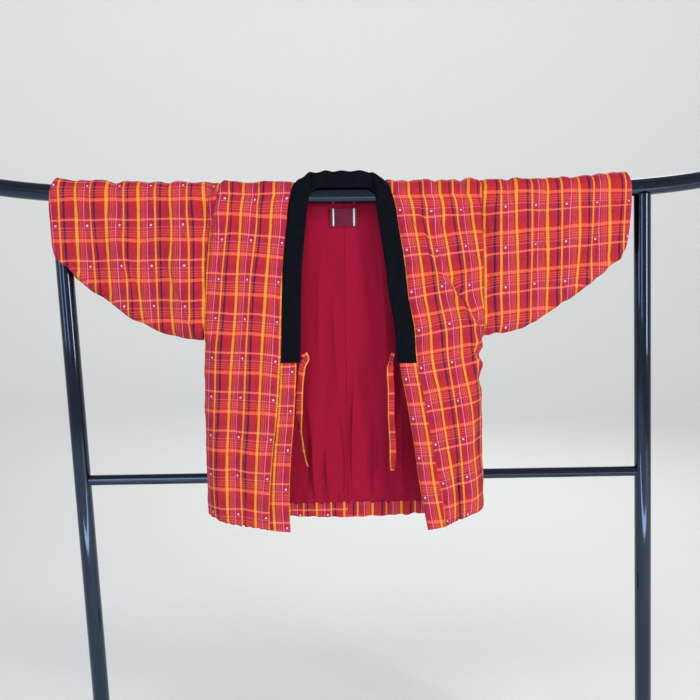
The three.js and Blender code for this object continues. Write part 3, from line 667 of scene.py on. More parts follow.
def slubs(tree, warp, weft, warp_scale, weft_scale):
    """Uneven yarn as a noise drawn out along one thread direction."""
    place = add_node(tree, "ShaderNodeCombineXYZ", {
        0: maths(tree, "MULTIPLY", warp, warp_scale), 1: maths(tree, "MULTIPLY", weft, weft_scale),
    })
    noise = {"Vector": place.outputs[0], "Scale": 1.0, "Detail": 3.0, "Roughness": 0.6}
    return add_node(tree, "ShaderNodeTexNoise", noise).outputs["Fac"]


def crinkle(tree, warp, weft):
    """Shallow creases of washed cotton, a little longer along the warp."""
    broad = slubs(tree, warp, weft, 44, 26)
    return maths(tree, "ABSOLUTE", maths(tree, "MULTIPLY_ADD", broad, 2.0, -1.0))


def plaid_cotton():
    material, tree = new_material("plain_weave_plaid_cotton")
    warp, weft = cloth_place(tree)
    warp_share = cloth_axis(tree, warp, WARP_REPEAT, WARP_START)
    weft_share = cloth_axis(tree, weft, WEFT_REPEAT, WEFT_START)
    warp_ground, _ = ramp(tree, warp_share, ground_stops(WARP_GROUND))
    weft_ground, _ = ramp(tree, weft_share, ground_stops(WEFT_GROUND))
    ground = blend(tree, 0.5, warp_ground, weft_ground)
    weft_colour, weft_cover = ramp(tree, weft_share, stripe_stops(WEFT_STRIPES, WEFT_REPEAT), False)
    warp_colour, warp_cover = ramp(tree, warp_share, stripe_stops(WARP_STRIPES, WARP_REPEAT), False)
    yarn = slubs(tree, warp, weft, 2600, 160)
    cross_yarn = slubs(tree, warp, weft, 160, 2600)
    ground = blend(tree, maths(tree, "MULTIPLY_ADD", yarn, 0.9, -0.25), ground, linear("#8c1426"))
    ground = blend(tree, maths(tree, "MULTIPLY_ADD", cross_yarn, 0.6, -0.24), ground, linear("#de3c2c"))
    crossed = blend(tree, maths(tree, "MULTIPLY", weft_cover, 0.7), warp_colour, weft_colour, "ADD")
    colour = blend(tree, weft_cover, ground, weft_colour)
    colour = blend(tree, warp_cover, colour, crossed)
    aside = maths(tree, "MULTIPLY_ADD", warp_share, WARP_REPEAT, -DOT["warp"])
    below = maths(tree, "MULTIPLY_ADD", weft_share, WEFT_REPEAT, -DOT["weft"])
    squares = maths(tree, "ADD", maths(tree, "POWER", aside, 2), maths(tree, "POWER", below, 2))
    far = maths(tree, "SQRT", squares)
    reach = {0: far, 1: DOT["inner"], 2: DOT["outer"], 3: 0.9, 4: 0.0}
    dot = add_node(tree, "ShaderNodeMapRange", reach).outputs[0]
    colour = blend(tree, dot, colour, linear("#ffc6da"))
    threads = weave_height(tree, warp, weft, WEAVE["spacing"])
    height = maths(tree, "MULTIPLY_ADD", threads, WEAVE["share"], crinkle(tree, warp, weft))
    finish_material(tree, {
        "Base Color": colour,
        "Roughness": 0.82,
        "Specular IOR Level": 0.25,
        "Sheen Weight": 0.06,
        "Sheen Roughness": 0.5,
        "Sheen Tint": linear("#ffb0a0"),
    }, height, WEAVE["relief"])
    return material


PLAID = plaid_cotton()
print("plaid:", len(WARP_STRIPES), "warp and", len(WEFT_STRIPES), "weft stripes in",
      WARP_REPEAT, "by", WEFT_REPEAT, "mm")

# %% [markdown]
# The lining is a thin crimson plain-weave cotton, matt, with fine slubs. The collar is a short black
# cotton velvet: nearly no light comes back straight on, and its pile gives a soft bluish rim, which
# the sheen does. The label is a woven band with two pale bars; its lettering isn't drawn.

# %% Lining, velvet and label
def lining_cotton():
    material, tree = new_material("crimson_plain_weave_lining")
    warp, weft = cloth_place(tree)
    down_yarn = slubs(tree, warp, weft, 1900, 70)
    cross_yarn = slubs(tree, warp, weft, 70, 1900)
    cloud = slubs(tree, warp, weft, 9, 5)
    colour = blend(tree, down_yarn, linear("#860925"), linear("#9c0f32"))
    colour = blend(tree, maths(tree, "MULTIPLY", cross_yarn, 0.5), colour, linear("#840822"))
    colour = blend(tree, maths(tree, "MULTIPLY", cloud, 0.35), colour, linear("#ab1239"))
    height = maths(tree, "ADD", weave_height(tree, warp, weft, 1.0), maths(tree, "MULTIPLY", down_yarn, 1.4))
    finish_material(tree, {
        "Base Color": colour,
        "Roughness": 0.8,
        "Specular IOR Level": 0.12,
        "Sheen Weight": 0.04,
        "Sheen Roughness": 0.45,
        "Sheen Tint": linear("#ff8fb0"),
    }, height, 0.1, 0.6)
    return material


def cotton_velvet():
    material, tree = new_material("black_cotton_velvet")
    warp, weft = cloth_place(tree)
    pile = slubs(tree, warp, weft, 1500, 1500)
    brushed = slubs(tree, warp, weft, 26, 40)
    colour = blend(tree, brushed, linear("#020304"), linear("#10131d"))
    finish_material(tree, {
        "Base Color": colour,
        "Roughness": 0.95,
        "Specular IOR Level": 0.1,
        "Sheen Weight": 0.3,
        "Sheen Roughness": 0.3,
        "Sheen Tint": linear("#46506c"),
    }, pile, 0.5, 0.8)
    return material


LABEL = {"width": 60.0, "top": 29.0, "bottom": 69.0, "bar": 3.4, "bar_inset": 5.0}


def woven_label():
    material, tree = new_material("woven_rayon_label")
    across, along = cloth_place(tree)
    half_width = LABEL["width"] / 2
    from_end = maths(tree, "SUBTRACT", half_width * MM, maths(tree, "ABSOLUTE", across))
    start = LABEL["bar_inset"] / half_width
    width = LABEL["bar"] / half_width
    band = maths(tree, "DIVIDE", from_end, half_width * MM)
    colour, _ = ramp(tree, band, [
        (0.0, "#38443e", 1), (start - 0.03, "#2c161f", 1), (start, "#e6e2ea", 1),
        (start + width, "#300f1e", 1), (start + width + 0.03, "#5c0c28", 1),
    ], False)
    thread = slubs(tree, across, along, 500, 2600)
    colour = blend(tree, maths(tree, "MULTIPLY", thread, 0.3), colour, linear("#7a1436"))
    finish_material(tree, {
        "Base Color": colour,
        "Roughness": 0.6,
        "Specular IOR Level": 0.25,
    }, weave_height(tree, across, along, 0.9), 0.12, 0.7)
    return material


LINING = lining_cotton()
VELVET = cotton_velvet()
LABEL_CLOTH = woven_label()
print("cloths:", [m.name for m in (PLAID, LINING, VELVET, LABEL_CLOTH)])

# %% [markdown]
# The rack is steel tube with a thick black gloss lacquer. A nearly black base and a clear coat over it
# give the narrow highlights along each tube, and a slight waviness makes them uneven. The bluish colour
# of the highlights and the base's bluish tone are painted reflection colour for bluish light round the rack.

# %% Lacquer and thread
def gloss_lacquer():
    material, tree = new_material("black_gloss_lacquer_on_steel")
    place = add_node(tree, "ShaderNodeTexCoord").outputs["Object"]
    orange_peel = add_node(tree, "ShaderNodeTexNoise", {"Vector": place, "Scale": 160.0, "Detail": 1.0})
    dust = add_node(tree, "ShaderNodeTexNoise", {"Vector": place, "Scale": 900.0, "Detail": 3.0})
    rough = add_node(tree, "ShaderNodeMapRange", {0: dust.outputs[0], 1: 0.35, 2: 0.8, 3: 0.06, 4: 0.11})
    # The base's bluish tone is painted reflection colour for bluish light; the noise varies it at random.
    colour = blend(tree, dust.outputs[0], linear("#05070b"), linear("#0a0e16"))
    finish_material(tree, {
        "Base Color": colour,
        "Roughness": rough.outputs[0],
        "Specular IOR Level": 0.8,
        # The blue specular tint is painted reflection colour for bluish light round the rack.
        "Specular Tint": linear("#b0d0ff"),
        "Coat Weight": 0.25,
        "Coat Roughness": 0.05,
    }, orange_peel.outputs[0], 0.02, 0.25)
    return material


def sewing_thread():
    material, tree = new_material("crimson_cotton_thread")
    place = add_node(tree, "ShaderNodeTexCoord").outputs["Object"]
    ply = add_node(tree, "ShaderNodeTexNoise", {"Vector": place, "Scale": 1800.0, "Detail": 2.0})
    colour = blend(tree, maths(tree, "MULTIPLY", ply.outputs[0], 0.35), linear("#b8203a"), linear("#5c1a20"))
    look = {"Base Color": colour, "Roughness": 0.6, "Sheen Weight": 0.1}
    finish_material(tree, look, ply.outputs[0], 0.05, 0.5)
    return material


LACQUER = gloss_lacquer()
THREAD = sewing_thread()
print("materials made:", len(bpy.data.materials))

# %% [markdown]
# Each half of the jacket's body is one long padded panel, from the front hem over the shoulder to
# the back hem. Its plaid isn't mirrored: the right half is the same cloth turned end for end, as
# the cutter laid it, so its stripes run the other way. The warp follows the collar seam in front and
# hangs straight behind. The weft dips at the left collar seam and slants on the right front.

# %% Body panels
FLAT_COLUMNS = 40
BEND_COLUMNS = 14
FRONT_ROWS = 150
OVER_ROWS = 40
BACK_ROWS = 130
CREASE_DEPTH = 1.7
WOBBLE = 1.7
HEM_ROUND = 7.0
SEAM_WIDTH = 12.0
SEAM_THINNING = 0.5
ABOVE_FOLDS = -200.0
TINY_TURN = 1e-6
UNEVENNESS = 0.9
# Puckers beside a seam or the rail, in mm: their height, their spacing, and how far they reach.
SHORT_SHOULDER_PUCKERS = (2.2, 38, 34)
LONG_SHOULDER_PUCKERS = (1.6, 68, 110)
COLLAR_SEAM_PUCKERS = (1.8, 26, 18)
SIDE_PUCKERS = (1.3, 30, 20)
# The soft ridge on the body beside the armhole, and the groove of its seam.
BODY_SWELL = {"ridge": 8, "away": 17, "width": 13, "groove": 6, "groove_width": 8}
# Where the pattern lies on each half, in mm: seam is its place across the warp at the collar seam,
# gather the cloth taken up for each mm across, and shift its place along the warp. Past side_start
# the side takes up side_gather more.
LAY_COLUMNS = "drop seam gather shift"
BODY_CLOTH = {
    "left": {
        "way": 1, "stretch": 1.02, "dip": 12.0, "slant": 0.0, "side_gather": 0.1, "side_start": 120.0,
        "lay": table(
            LAY_COLUMNS,
            (0, 70.5, 1.05, 8), (130, 72, 1.09, 8), (230, 76, 1.09, 7), (350, 78.5, 1.04, 7),
            (460, 77, 1.03, 7), (560, 73.5, 1.04, 7), (660, 72, 1.08, 8), (743, 73.5, 1.11, 8),
        ),
    },
    "right": {
        "way": -1, "stretch": 1.035, "dip": 0.0, "slant": 0.17, "side_gather": 0.14, "side_start": 90.0,
        "lay": table(
            LAY_COLUMNS,
            (0, 72, 1.02, 54), (70, 72, 1.02, 54), (150, 72, 1.02, 59.5), (230, 72, 1.02, 66),
            (320, 72, 1.02, 64), (460, 72, 1.02, 63.5), (600, 72, 1.05, 63), (743, 72, 1.07, 63),
        ),
    },
}
FOLD_EDGE = 7.0
SHIFT_COLUMNS = "x1 drop1 x2 drop2 reach along_warp along_weft"
# Cloth taken up by a fold: past its line the pattern is shifted, which dies away over the reach.
FOLD_SHIFTS = table(
    SHIFT_COLUMNS,
    (146, 20, 186, 190, 90, -9, 7), (176, 150, 286, 306, 70, -14, 8), (262, 300, 300, 330, 30, -6, 5),
    (-548, 30, -470, 290, 60, 1, 8), (-600, -10, -590, 130, 26, 0, 5), (-420, 20, -404, 150, 30, 0, -5),
)


def cloth_shift(x, drop):
    """How far folds have shifted the pattern, along the warp and along the weft."""
    warp = np.zeros(np.broadcast(x, drop).shape)
    weft = np.zeros(warp.shape)
    for *line, reach, along_warp, along_weft in table_rows(FOLD_SHIFTS, SHIFT_COLUMNS):
        along, away = beside_line(x, drop, *line)
        past = smooth(0.5 + away / FOLD_EDGE) * np.exp(-np.maximum(0, away) / reach)
        share = np.sin(math.pi * along) * past
        warp = warp + along_warp * share
        weft = weft + along_weft * share
    return warp, weft


def cloth_wobble(x, run):
    """Small wandering of the woven lines, as worn cloth has, along the warp and the weft."""
    near_rail = fade(run + 30, 70)
    sideways = waves(211, x, run, 74, 1.6) + 0.8 * waves(212, x, 0, 40) * near_rail
    lengthways = 0.6 * waves(213, x, run, 90, 1.0)
    return WOBBLE * np.stack([sideways, lengthways], axis=-1)


def hem_drops(side, layer, across, bend):
    """The hem climbs a little from its middle to the side, and is slightly scalloped."""
    share = (across + np.sin(bend)) / 2
    scallops = 1.8 * waves(201, side["sign"] * 620 * share, 0, 34) * smooth(8 * share)
    return mix(HEM[layer], HEM[layer + "_side"], share) + scallops


def body_grid(side):
    """Middle points of one body panel, with the drop of each row and where it is."""
    across = np.concatenate([steps(FLAT_COLUMNS) ** 1.25, np.ones(BEND_COLUMNS)])
    round_side = (1 - (1 - steps(BEND_COLUMNS)[1:]) ** 1.4) * math.pi / 2
    bend = np.concatenate([np.zeros(FLAT_COLUMNS + 1), round_side])
    down = (steps(FRONT_ROWS) ** 1.15)[:, None]
    front_drop = hem_drops(side, "front", across, bend)[None] * (1 - down)
    seam = read(side["edges"], "drop", "seam", front_drop)
    front = layer_point(side, "front", seam, across[None], bend[None], front_drop)
    row = steps(OVER_ROWS, 0, 15)[1:-1, None]
    seam_turn = read(side["neck"], "row", "seam_turn", row)
    plain_turn = read(side["neck"], "row", "turn", row)
    over_turn = mix(seam_turn, plain_turn, np.minimum(1, across[None] * 1.6))
    arm = read(side["edges"], "drop", "side", SHOULDER_RISE * np.sin(np.radians(over_turn))) - SHOULDER_EASE
    flat_reach = mix(read(side["neck"], "row", "reach", row), arm, across[None])
    over = over_point(side, flat_reach + SHOULDER_EASE * np.sin(bend)[None], over_turn)
    back_drop = hem_drops(side, "back", across, bend)[None] * (1 - (1 - steps(BACK_ROWS)[:, None]) ** 1.15)
    back = layer_point(side, "back", TOUCH / 2, across[None], bend[None], back_drop)
    angle = np.radians(np.concatenate([
        np.zeros_like(front_drop), over_turn, np.full_like(back_drop, 180.0),
    ]))
    drop = np.concatenate([front_drop, np.zeros_like(over_turn), back_drop])
    return np.concatenate([front, over, back]), drop, angle


def surface_drop(drop, angle):
    """Drop carried on over the rail as a negative length, on the nearer of the two layers."""
    from_front = np.where(angle < math.pi / 2, angle, math.pi - angle)
    return drop - SKIN * np.sin(from_front) * (from_front > 0)


def puckers(seed, x, drop, away, kind):
    """Puckers of one kind, which die away from the line that they start at."""
    height, spacing, reach = kind
    return height * waves(seed, x, drop, spacing) * fade(away, reach)


def shoulder_puckers(x, hang, seed):
    """Short puckers along the rail, where the padded cloth bends over it."""
    below = np.maximum(0, hang)
    short = puckers(seed, x, 0.2 * hang, below, SHORT_SHOULDER_PUCKERS)
    return short + puckers(seed + 2, x, 0.3 * hang, below, LONG_SHOULDER_PUCKERS)


def armhole_swell(from_seam, ridge, away, width, groove, groove_width):
    """How far a panel stands out beside the armhole seam, and sinks in at the seam itself."""
    return ridge * fade(from_seam - away, width) - groove * fade(from_seam, groove_width)


def fine_relief(x, drop, angle, seed):
    """Creases, puckers and slight unevenness of a panel, in mm out of its surface."""
    hang = surface_drop(drop, angle)
    in_front = angle < math.pi / 2
    creases = np.where(in_front, relief(FRONT_CREASES, x, hang, 1.5), relief(BACK_CREASES, x, hang, 1.5))
    uneven = UNEVENNESS * waves(seed + 1, x, hang + np.where(in_front, 0, 900), 66, 2.2)
    return CREASE_DEPTH * creases + shoulder_puckers(x, hang, seed) + uneven


def body_half(grid):
    """Half the wall's thickness: thin at seams, rounded at both hems."""
    from_seam, from_side = end_distances(grid, 1)
    from_front_hem, from_back_hem = end_distances(grid, 0)
    hems = round_off(from_front_hem, HEM_ROUND) * round_off(from_back_hem, HEM_ROUND)
    front_seam = sewn(from_seam, SEAM_WIDTH, SEAM_THINNING)
    return HALF_WALL * hems * front_seam * sewn(from_side, SEAM_WIDTH, SEAM_THINNING)


def front_hang(drop, angle):
    """Drop on the front layer; the back layer gets one above all folds."""
    return np.where(angle < math.pi / 2, surface_drop(drop, angle), ABOVE_FOLDS)


def cloth_run(drop, angle):
    """Length along the cloth: positive down the front, negative over the rail and down the back."""
    behind = angle > math.pi - TINY_TURN
    return np.where(behind, -SKIN * math.pi - drop, drop - SKIN * angle)


def body_uv(side, grid, drop, angle):
    """The cloth's own coordinates in mm: across the warp, and along it."""
    cloth = BODY_CLOTH[side["name"]]
    seam_now = np.abs(grid[:, :1, 0] - CENTRE_X)
    seam_start = float(read(side["edges"], "drop", "seam", 0.0))
    in_front = angle < TINY_TURN
    from_seam = lengths(grid, 1) + np.where(in_front[:, :1], 0, seam_now - seam_start)
    front_drop = np.where(in_front, drop, 0.0)
    lay = {name: read(cloth["lay"], "drop", name, front_drop) for name in LAY_COLUMNS.split()[1:]}
    run = cloth_run(drop, angle)
    dip = cloth["dip"] * np.exp(-np.maximum(0, from_seam) / 70) * smooth(front_drop / 60)
    slant = cloth["slant"] * smooth(front_drop / 250) * from_seam
    warp_shift, weft_shift = cloth_shift(grid[..., 0], front_hang(drop, angle))
    past_start = np.maximum(0, from_seam - cloth["side_start"])
    side_pull = cloth["side_gather"] * past_start * smooth(1 - angle / math.pi)
    along = (run - dip + slant + warp_shift) * cloth["stretch"]
    across = lay["seam"] - lay["gather"] * (from_seam + weft_shift) - side_pull
    return np.stack([across, cloth["way"] * along + lay["shift"]], axis=-1) + cloth_wobble(grid[..., 0], run)


def body_panel(side, seed):
    grid, drop, angle = body_grid(side)
    uv = body_uv(side, grid, drop, angle)
    normal = front_normals(grid, slice(FRONT_ROWS))
    from_seam, from_side = end_distances(grid, 1)
    hang = surface_drop(drop, angle)
    drawn_up = puckers(seed + 5, 0 * hang, hang, from_seam, COLLAR_SEAM_PUCKERS)
    drawn_up = drawn_up + puckers(seed + 6, 0 * hang, hang, from_side, SIDE_PUCKERS)
    near_edge = smooth(np.minimum(from_seam, from_side) / 14)
    fine = fine_relief(grid[..., 0], drop, angle, seed) * mix(0.25, 1, near_edge) + drawn_up
    # The ridge is strongest below the rail, and ends at the armpit.
    proud = armhole_swell(from_side, **BODY_SWELL)
    at_armhole = mix(0.35, 1.0, 1 - rise(hang, 60, 90)) * (1 - rise(hang, 260, 60))
    at_armhole = at_armhole * mix(0.25, 1, rise(hang, 4, 40))
    fine = fine + side["armhole_ridge"] * proud * at_armhole * smooth((angle < math.pi / 2) + 0.3)
    grid = grid + normal * fine[..., None]
    normal = front_normals(grid, slice(FRONT_ROWS))
    name = f"body_{side['name']}_cloth"
    mesh = shell(name, grid, normal, body_half(grid), uv, [PLAID, LINING])
    print(name, "area", square_metres(grid), "m2,", len(mesh.polygons), "faces")
    return piece(name, mesh, f"body_{side['name']}")


for side, seed in ((LEFT, 11), (RIGHT, 23)):
    made = body_panel(side, seed)

# %% [markdown]
# A sleeve is one straight panel folded over the rail, its two lower edges sewn together. Here it is
# built as that sheet: from the bottom of its back, over the rail, to the bottom of its front.

# %% Sleeves
SLEEVE_COLUMNS = 64
SLEEVE_SIDE_ROWS = 46
SLEEVE_OVER_ROWS = 26
SLEEVE_UNDER_ROWS = 9
ARM_GAP = 0.1
CUFF_ROUND = 20.0
PINCH = 0.38
ARMHOLE_PUCKERS = (1.6, 30, 24)
UNDERARM_PUCKERS = (1.4, 34, 24)
SLEEVE_SWELL = {"ridge": 4, "away": 52, "width": 18, "groove": 8, "groove_width": 24}
SLEEVE_CLOTH = {
    "left": {"gather": 1.043, "start": 17.0, "way": 1, "shift": 43.0, "stretch": 0.983, "slant": 0.0},
    "right": {"gather": -1.05, "start": 53.9, "way": -1, "shift": 45.8, "stretch": 0.992, "slant": 0.07},
}


def sleeve_rows():
    """One row for each line of the panel: its part, its share down or its angle, and its layer."""
    rows = [("under", angle, False) for angle in steps(SLEEVE_UNDER_ROWS, math.pi / 2, 0)[:-1]]
    rows += [("side", share, False) for share in steps(SLEEVE_SIDE_ROWS, 1, 0)]
    rows += [("over", angle, angle < math.pi / 2) for angle in steps(SLEEVE_OVER_ROWS, math.pi, 0)[1:-1]]
    rows += [("side", share, True) for share in steps(SLEEVE_SIDE_ROWS)]
    rows += [("under", angle, True) for angle in steps(SLEEVE_UNDER_ROWS, 0, math.pi / 2)[1:]]
    return rows


def sleeve_row(side, along, part, value, is_front):
    """Middle points of one row, with its drop and its turn over the rail."""
    edges = side["edges"]
    arm_bottom = read(edges, "drop", "side", ARMPIT_DROP) + ARM_GAP + ARMPIT_EASE
    bottom_reach = mix(arm_bottom, side["cuff"]["reach"][-1], along)
    bottom = read(side["under"], "reach", "drop", bottom_reach)
    bottom = bottom + rail_rise(CENTRE_X + side["sign"] * bottom_reach)
    rounding = mix(ARMPIT_ROUND, CUFF_ROUND, smooth(along * 2.5))
    if part == "over":
        seam_drop = SHOULDER_RISE * math.sin(value) + 0 * along
    elif part == "side":
        seam_drop = (bottom - rounding) * value
    else:
        seam_drop = bottom - rounding + rounding * math.sin(value)
    ease = rise(seam_drop, ARMPIT_DROP - 40, 40) * ARMPIT_EASE
    arm = read(edges, "drop", "side", seam_drop) + ARM_GAP + ease
    reach = mix(arm, read(side["cuff"], "drop", "reach", seam_drop), along)
    if part == "over":
        points = over_point(side, reach, np.degrees(value + 0 * along))
        points[:, 2] += side["cuff_lift"] * rise(reach, 480, 160) * math.sin(value)
        return points, 0 * along, value + 0 * along
    x = CENTRE_X + side["sign"] * reach
    drop = seam_drop
    away = -1 if is_front else 1
    upright = smooth(along * 1.5)
    middle = mix(middle_y(drop), 0, upright)
    half_depth = mix((back_y(drop) - front_y(drop)) / 2, SADDLE, upright)
    pinch = 1 - PINCH * np.sin(math.pi * np.minimum(1, along * 1.04)) ** 0.8 * (drop / bottom) ** 2
    calm = 1 - rise(along, 0.85, 0.15)
    folds = relief(FRONT_FOLDS if is_front else BACK_FOLDS, x, drop) * calm
    bend = math.cos(value) if part == "under" else 1.0
    y = middle + away * ((half_depth * pinch + folds) * bend + SEAM_GAP / 2 * (1 - bend))
    angle = 0.0 if is_front else math.pi
    return np.stack([x, y, RAIL_MID_Z + rail_rise(x) - drop], axis=-1), drop, angle + 0 * along


def sleeve_uv(side, grid, drop, angle):
    cloth = SLEEVE_CLOTH[side["name"]]
    x = grid[..., 0]
    level = drop - np.where(angle < math.pi / 2, 1, -1) * rail_rise(x) * 0.9
    run = cloth_run(level, angle)
    slant = cloth["slant"] * (np.abs(x) - 338) * smooth(drop / 60) * (angle < TINY_TURN)
    warp_shift, weft_shift = cloth_shift(x, front_hang(drop, angle))
    across = cloth["gather"] * (x + weft_shift) + cloth["start"]
    along = cloth["way"] * (run + slant + warp_shift) * cloth["stretch"] + cloth["shift"]
    return np.stack([across, along], axis=-1) + cloth_wobble(x, run)


def sleeve(side, seed):
    share = steps(SLEEVE_COLUMNS)
    along = 0.5 - 0.5 * np.sign(0.5 - share) * np.abs(1 - 2 * share) ** 0.85
    rows = [sleeve_row(side, along, *row) for row in sleeve_rows()]
    grid, drop, angle = (np.stack([row[k] for row in rows]) for k in range(3))
    uv = sleeve_uv(side, grid, drop, angle)
    x = grid[..., 0]
    hang = surface_drop(drop, angle)
    from_arm, from_cuff = end_distances(grid, 1)
    from_back, from_front = end_distances(grid, 0)
    low = np.minimum(from_back, from_front)
    fine = fine_relief(x, drop, angle, seed) * smooth(low / 30)
    fine = fine + puckers(seed + 6, 0 * hang, hang, from_arm, ARMHOLE_PUCKERS)
    fine = fine + puckers(seed + 7, x, 0, low, UNDERARM_PUCKERS)
    proud = armhole_swell(from_arm, **SLEEVE_SWELL)
    at_front = smooth((angle < math.pi / 2) + 0.2)
    high = mix(0.3, 1, 1 - rise(hang, 60, 110)) * rise(hang, 4, 36)
    fine = fine + proud * high * smooth(low / 60) * at_front
    grid = grid + front_normals(grid, slice(-SLEEVE_SIDE_ROWS, None)) * fine[..., None]
    normal = front_normals(grid, slice(-SLEEVE_SIDE_ROWS, None))
    half = HALF_WALL * round_off(from_cuff, HEM_ROUND) * sewn(from_arm, SEAM_WIDTH, SEAM_THINNING)
    half = half * sewn(low, 10, 0.45)
    name = f"sleeve_{side['name']}_cloth"
    mesh = shell(name, grid, normal, half, uv, [PLAID, LINING])
    print(name, "area", square_metres(grid), "m2")
    return piece(name, mesh, f"sleeve_{side['name']}")


for side, seed in ((LEFT, 31), (RIGHT, 43)):
    made = sleeve(side, seed)

# %% [markdown]
# The collar is one padded band of velvet. It lies along each front, turns up over the rail and
# stands behind the neck. Its cross-section is plump in the middle, flat at the seam and round at the
# free edge, and the part behind the neck is puckered where the band is bent.

# %% Velvet collar
BAND_COLUMNS = 18
BAND_FRONT_ROWS = 66
BAND_TURN_ROWS = 54
BAND_BACK_ROWS = 12
BAND_SMOOTHINGS = 8
BAND_BOW = 1.5
LIP = {"forward": 14.0, "down": 3.5, "corner_forward": 20.0, "corner_down": 24.0, "reach": 26.0}
# The lip starts at this height over the rail's middle; the rest is distance from the neck's middle.
LIP_PLACE = {"height": 14, "end": 86, "corner": 56, "right_share": 1.13}


def band_lines(side):
    """The seam line and the free line of one half of the band, from its lower end to the middle."""
    drop = steps(BAND_FRONT_ROWS, side["velvet_end"], 16)
    seam = read(side["edges"], "drop", "seam", drop) - TOUCH
    y = front_y(drop) - EDGE_TILT * opening(drop)
    seam_line = np.stack([seam, y, -drop], axis=1)
    free_line = np.stack([seam - VELVET_WIDTH, y, -drop], axis=1)
    row = steps(BAND_TURN_ROWS, 0, 7)
    columns = {name: read(side["turn"], "row", name, row) for name in side["turn"]}
    seam_turn = np.stack([columns["seam"] - TOUCH, columns["seam_y"], columns["seam_z"]], axis=1)
    free_turn = np.stack([columns["free"], columns["free_y"], columns["free_z"]], axis=1)
    return np.concatenate([seam_line, seam_turn]), np.concatenate([free_line, free_turn])


def band_half(side):
    seam, free = band_lines(side)
    for line in (seam, free):
        line[:, 0] = CENTRE_X + side["sign"] * line[:, 0]
        line[:, 2] = RAIL_MID_Z + line[:, 2]
    return seam, free


def lower_lip(grid, from_seam):
    """The inside of the collar reaches lower than its seam behind the neck, and covers the rail's top."""
    from_middle = grid[:, :1, 0] - CENTRE_X
    aside = np.abs(from_middle) * np.where(from_middle > 0, LIP_PLACE["right_share"], 1.0)
    standing = rise(grid[:, :1, 2] - RAIL_MID_Z, LIP_PLACE["height"], 6)
    corner = rise(aside, LIP_PLACE["corner"], 32)
    lip = standing * (1 - rise(aside, LIP_PLACE["end"], 12)) * (1 - smooth(from_seam / LIP["reach"]))
    forward = mix(LIP["forward"], LIP["corner_forward"], corner)
    down = mix(LIP["down"], LIP["corner_down"], corner)
    return np.stack([0 * lip, -forward * lip, -down * lip], axis=-1)


def velvet_band():
    left_seam, left_free = band_half(LEFT)
    right_seam, right_free = band_half(RIGHT)
    gap = steps(BAND_BACK_ROWS)[1:-1, None]
    back_seam = mix(left_seam[-1], right_seam[-1], gap)
    back_free = mix(left_free[-1], right_free[-1], gap)
    seam = np.concatenate([left_seam, back_seam, right_seam[::-1]])
    free = np.concatenate([left_free, back_free, right_free[::-1]])
    across = steps(BAND_COLUMNS)[None, :, None]
    bow = np.sin(math.pi * across) * np.array([0, 0, BAND_BOW])
    grid = mix(seam[:, None], free[:, None], across) + bow * smooth((seam[:, None, 2:] - RAIL_MID_Z) / 20)
    for _ in range(BAND_SMOOTHINGS):
        grid[1:-1] = (grid[:-2] + 2 * grid[1:-1] + grid[2:]) / 4
    run = lengths(grid, 0)
    reach = lengths(grid, 1)
    high = rise(grid[..., 2] - RAIL_MID_Z, 12, 26)
    pucker = 2.2 * waves(71, grid[..., 0], 0, 38) * high
    grid = grid + np.stack([0 * pucker, 0.8 * pucker, 0.9 * pucker * steps(BAND_COLUMNS)], axis=-1)
    normal = front_normals(grid, slice(BAND_FRONT_ROWS))
    uneven = 0.7 * waves(72, reach, run, 60, 2) * smooth(np.minimum(reach, reach[:, -1:] - reach) / 8)
    grid = grid + normal * uneven[..., None]
    from_seam, from_free = end_distances(grid, 1)
    low_end = np.minimum(run, run[-1:] - run)
    half = HALF_WALL * round_off(from_free, 8) * sewn(from_seam, 10, 0.55) * sewn(low_end, 8, 0.35)
    uv = np.stack([reach, run], axis=-1)
    outer = grid + normal * half[..., None]
    inner = grid - normal * half[..., None] + lower_lip(grid, from_seam)
    return wall_mesh("collar_velvet_band", outer, inner, uv, [VELVET])


velvet = piece("collar_velvet_band", velvet_band(), "collar_velvet")
print("velvet band:", len(velvet.data.polygons), "faces")

# %% [markdown]
# Below the velvet the collar goes on as a plaid strip on each front. It is sewn to the body along
# one side and folded at the other, so it gets one thin and one round edge.

# %% Plaid collar strips
STRIP_COLUMNS = 12
STRIP_ROWS = 110
STRIP_HALF = 5.5
STRIP_LIFT = 3.0
STRIP_GAP = 1.2
STRIP_CLOTH = {
    "left": {"edge": 73.5, "gather": 1.16, "way": 1, "shift": 58.4, "stretch": 1.025},
    "right": {"edge": 72.0, "gather": 1.16, "way": -1, "shift": 79.0, "stretch": 1.015},
}


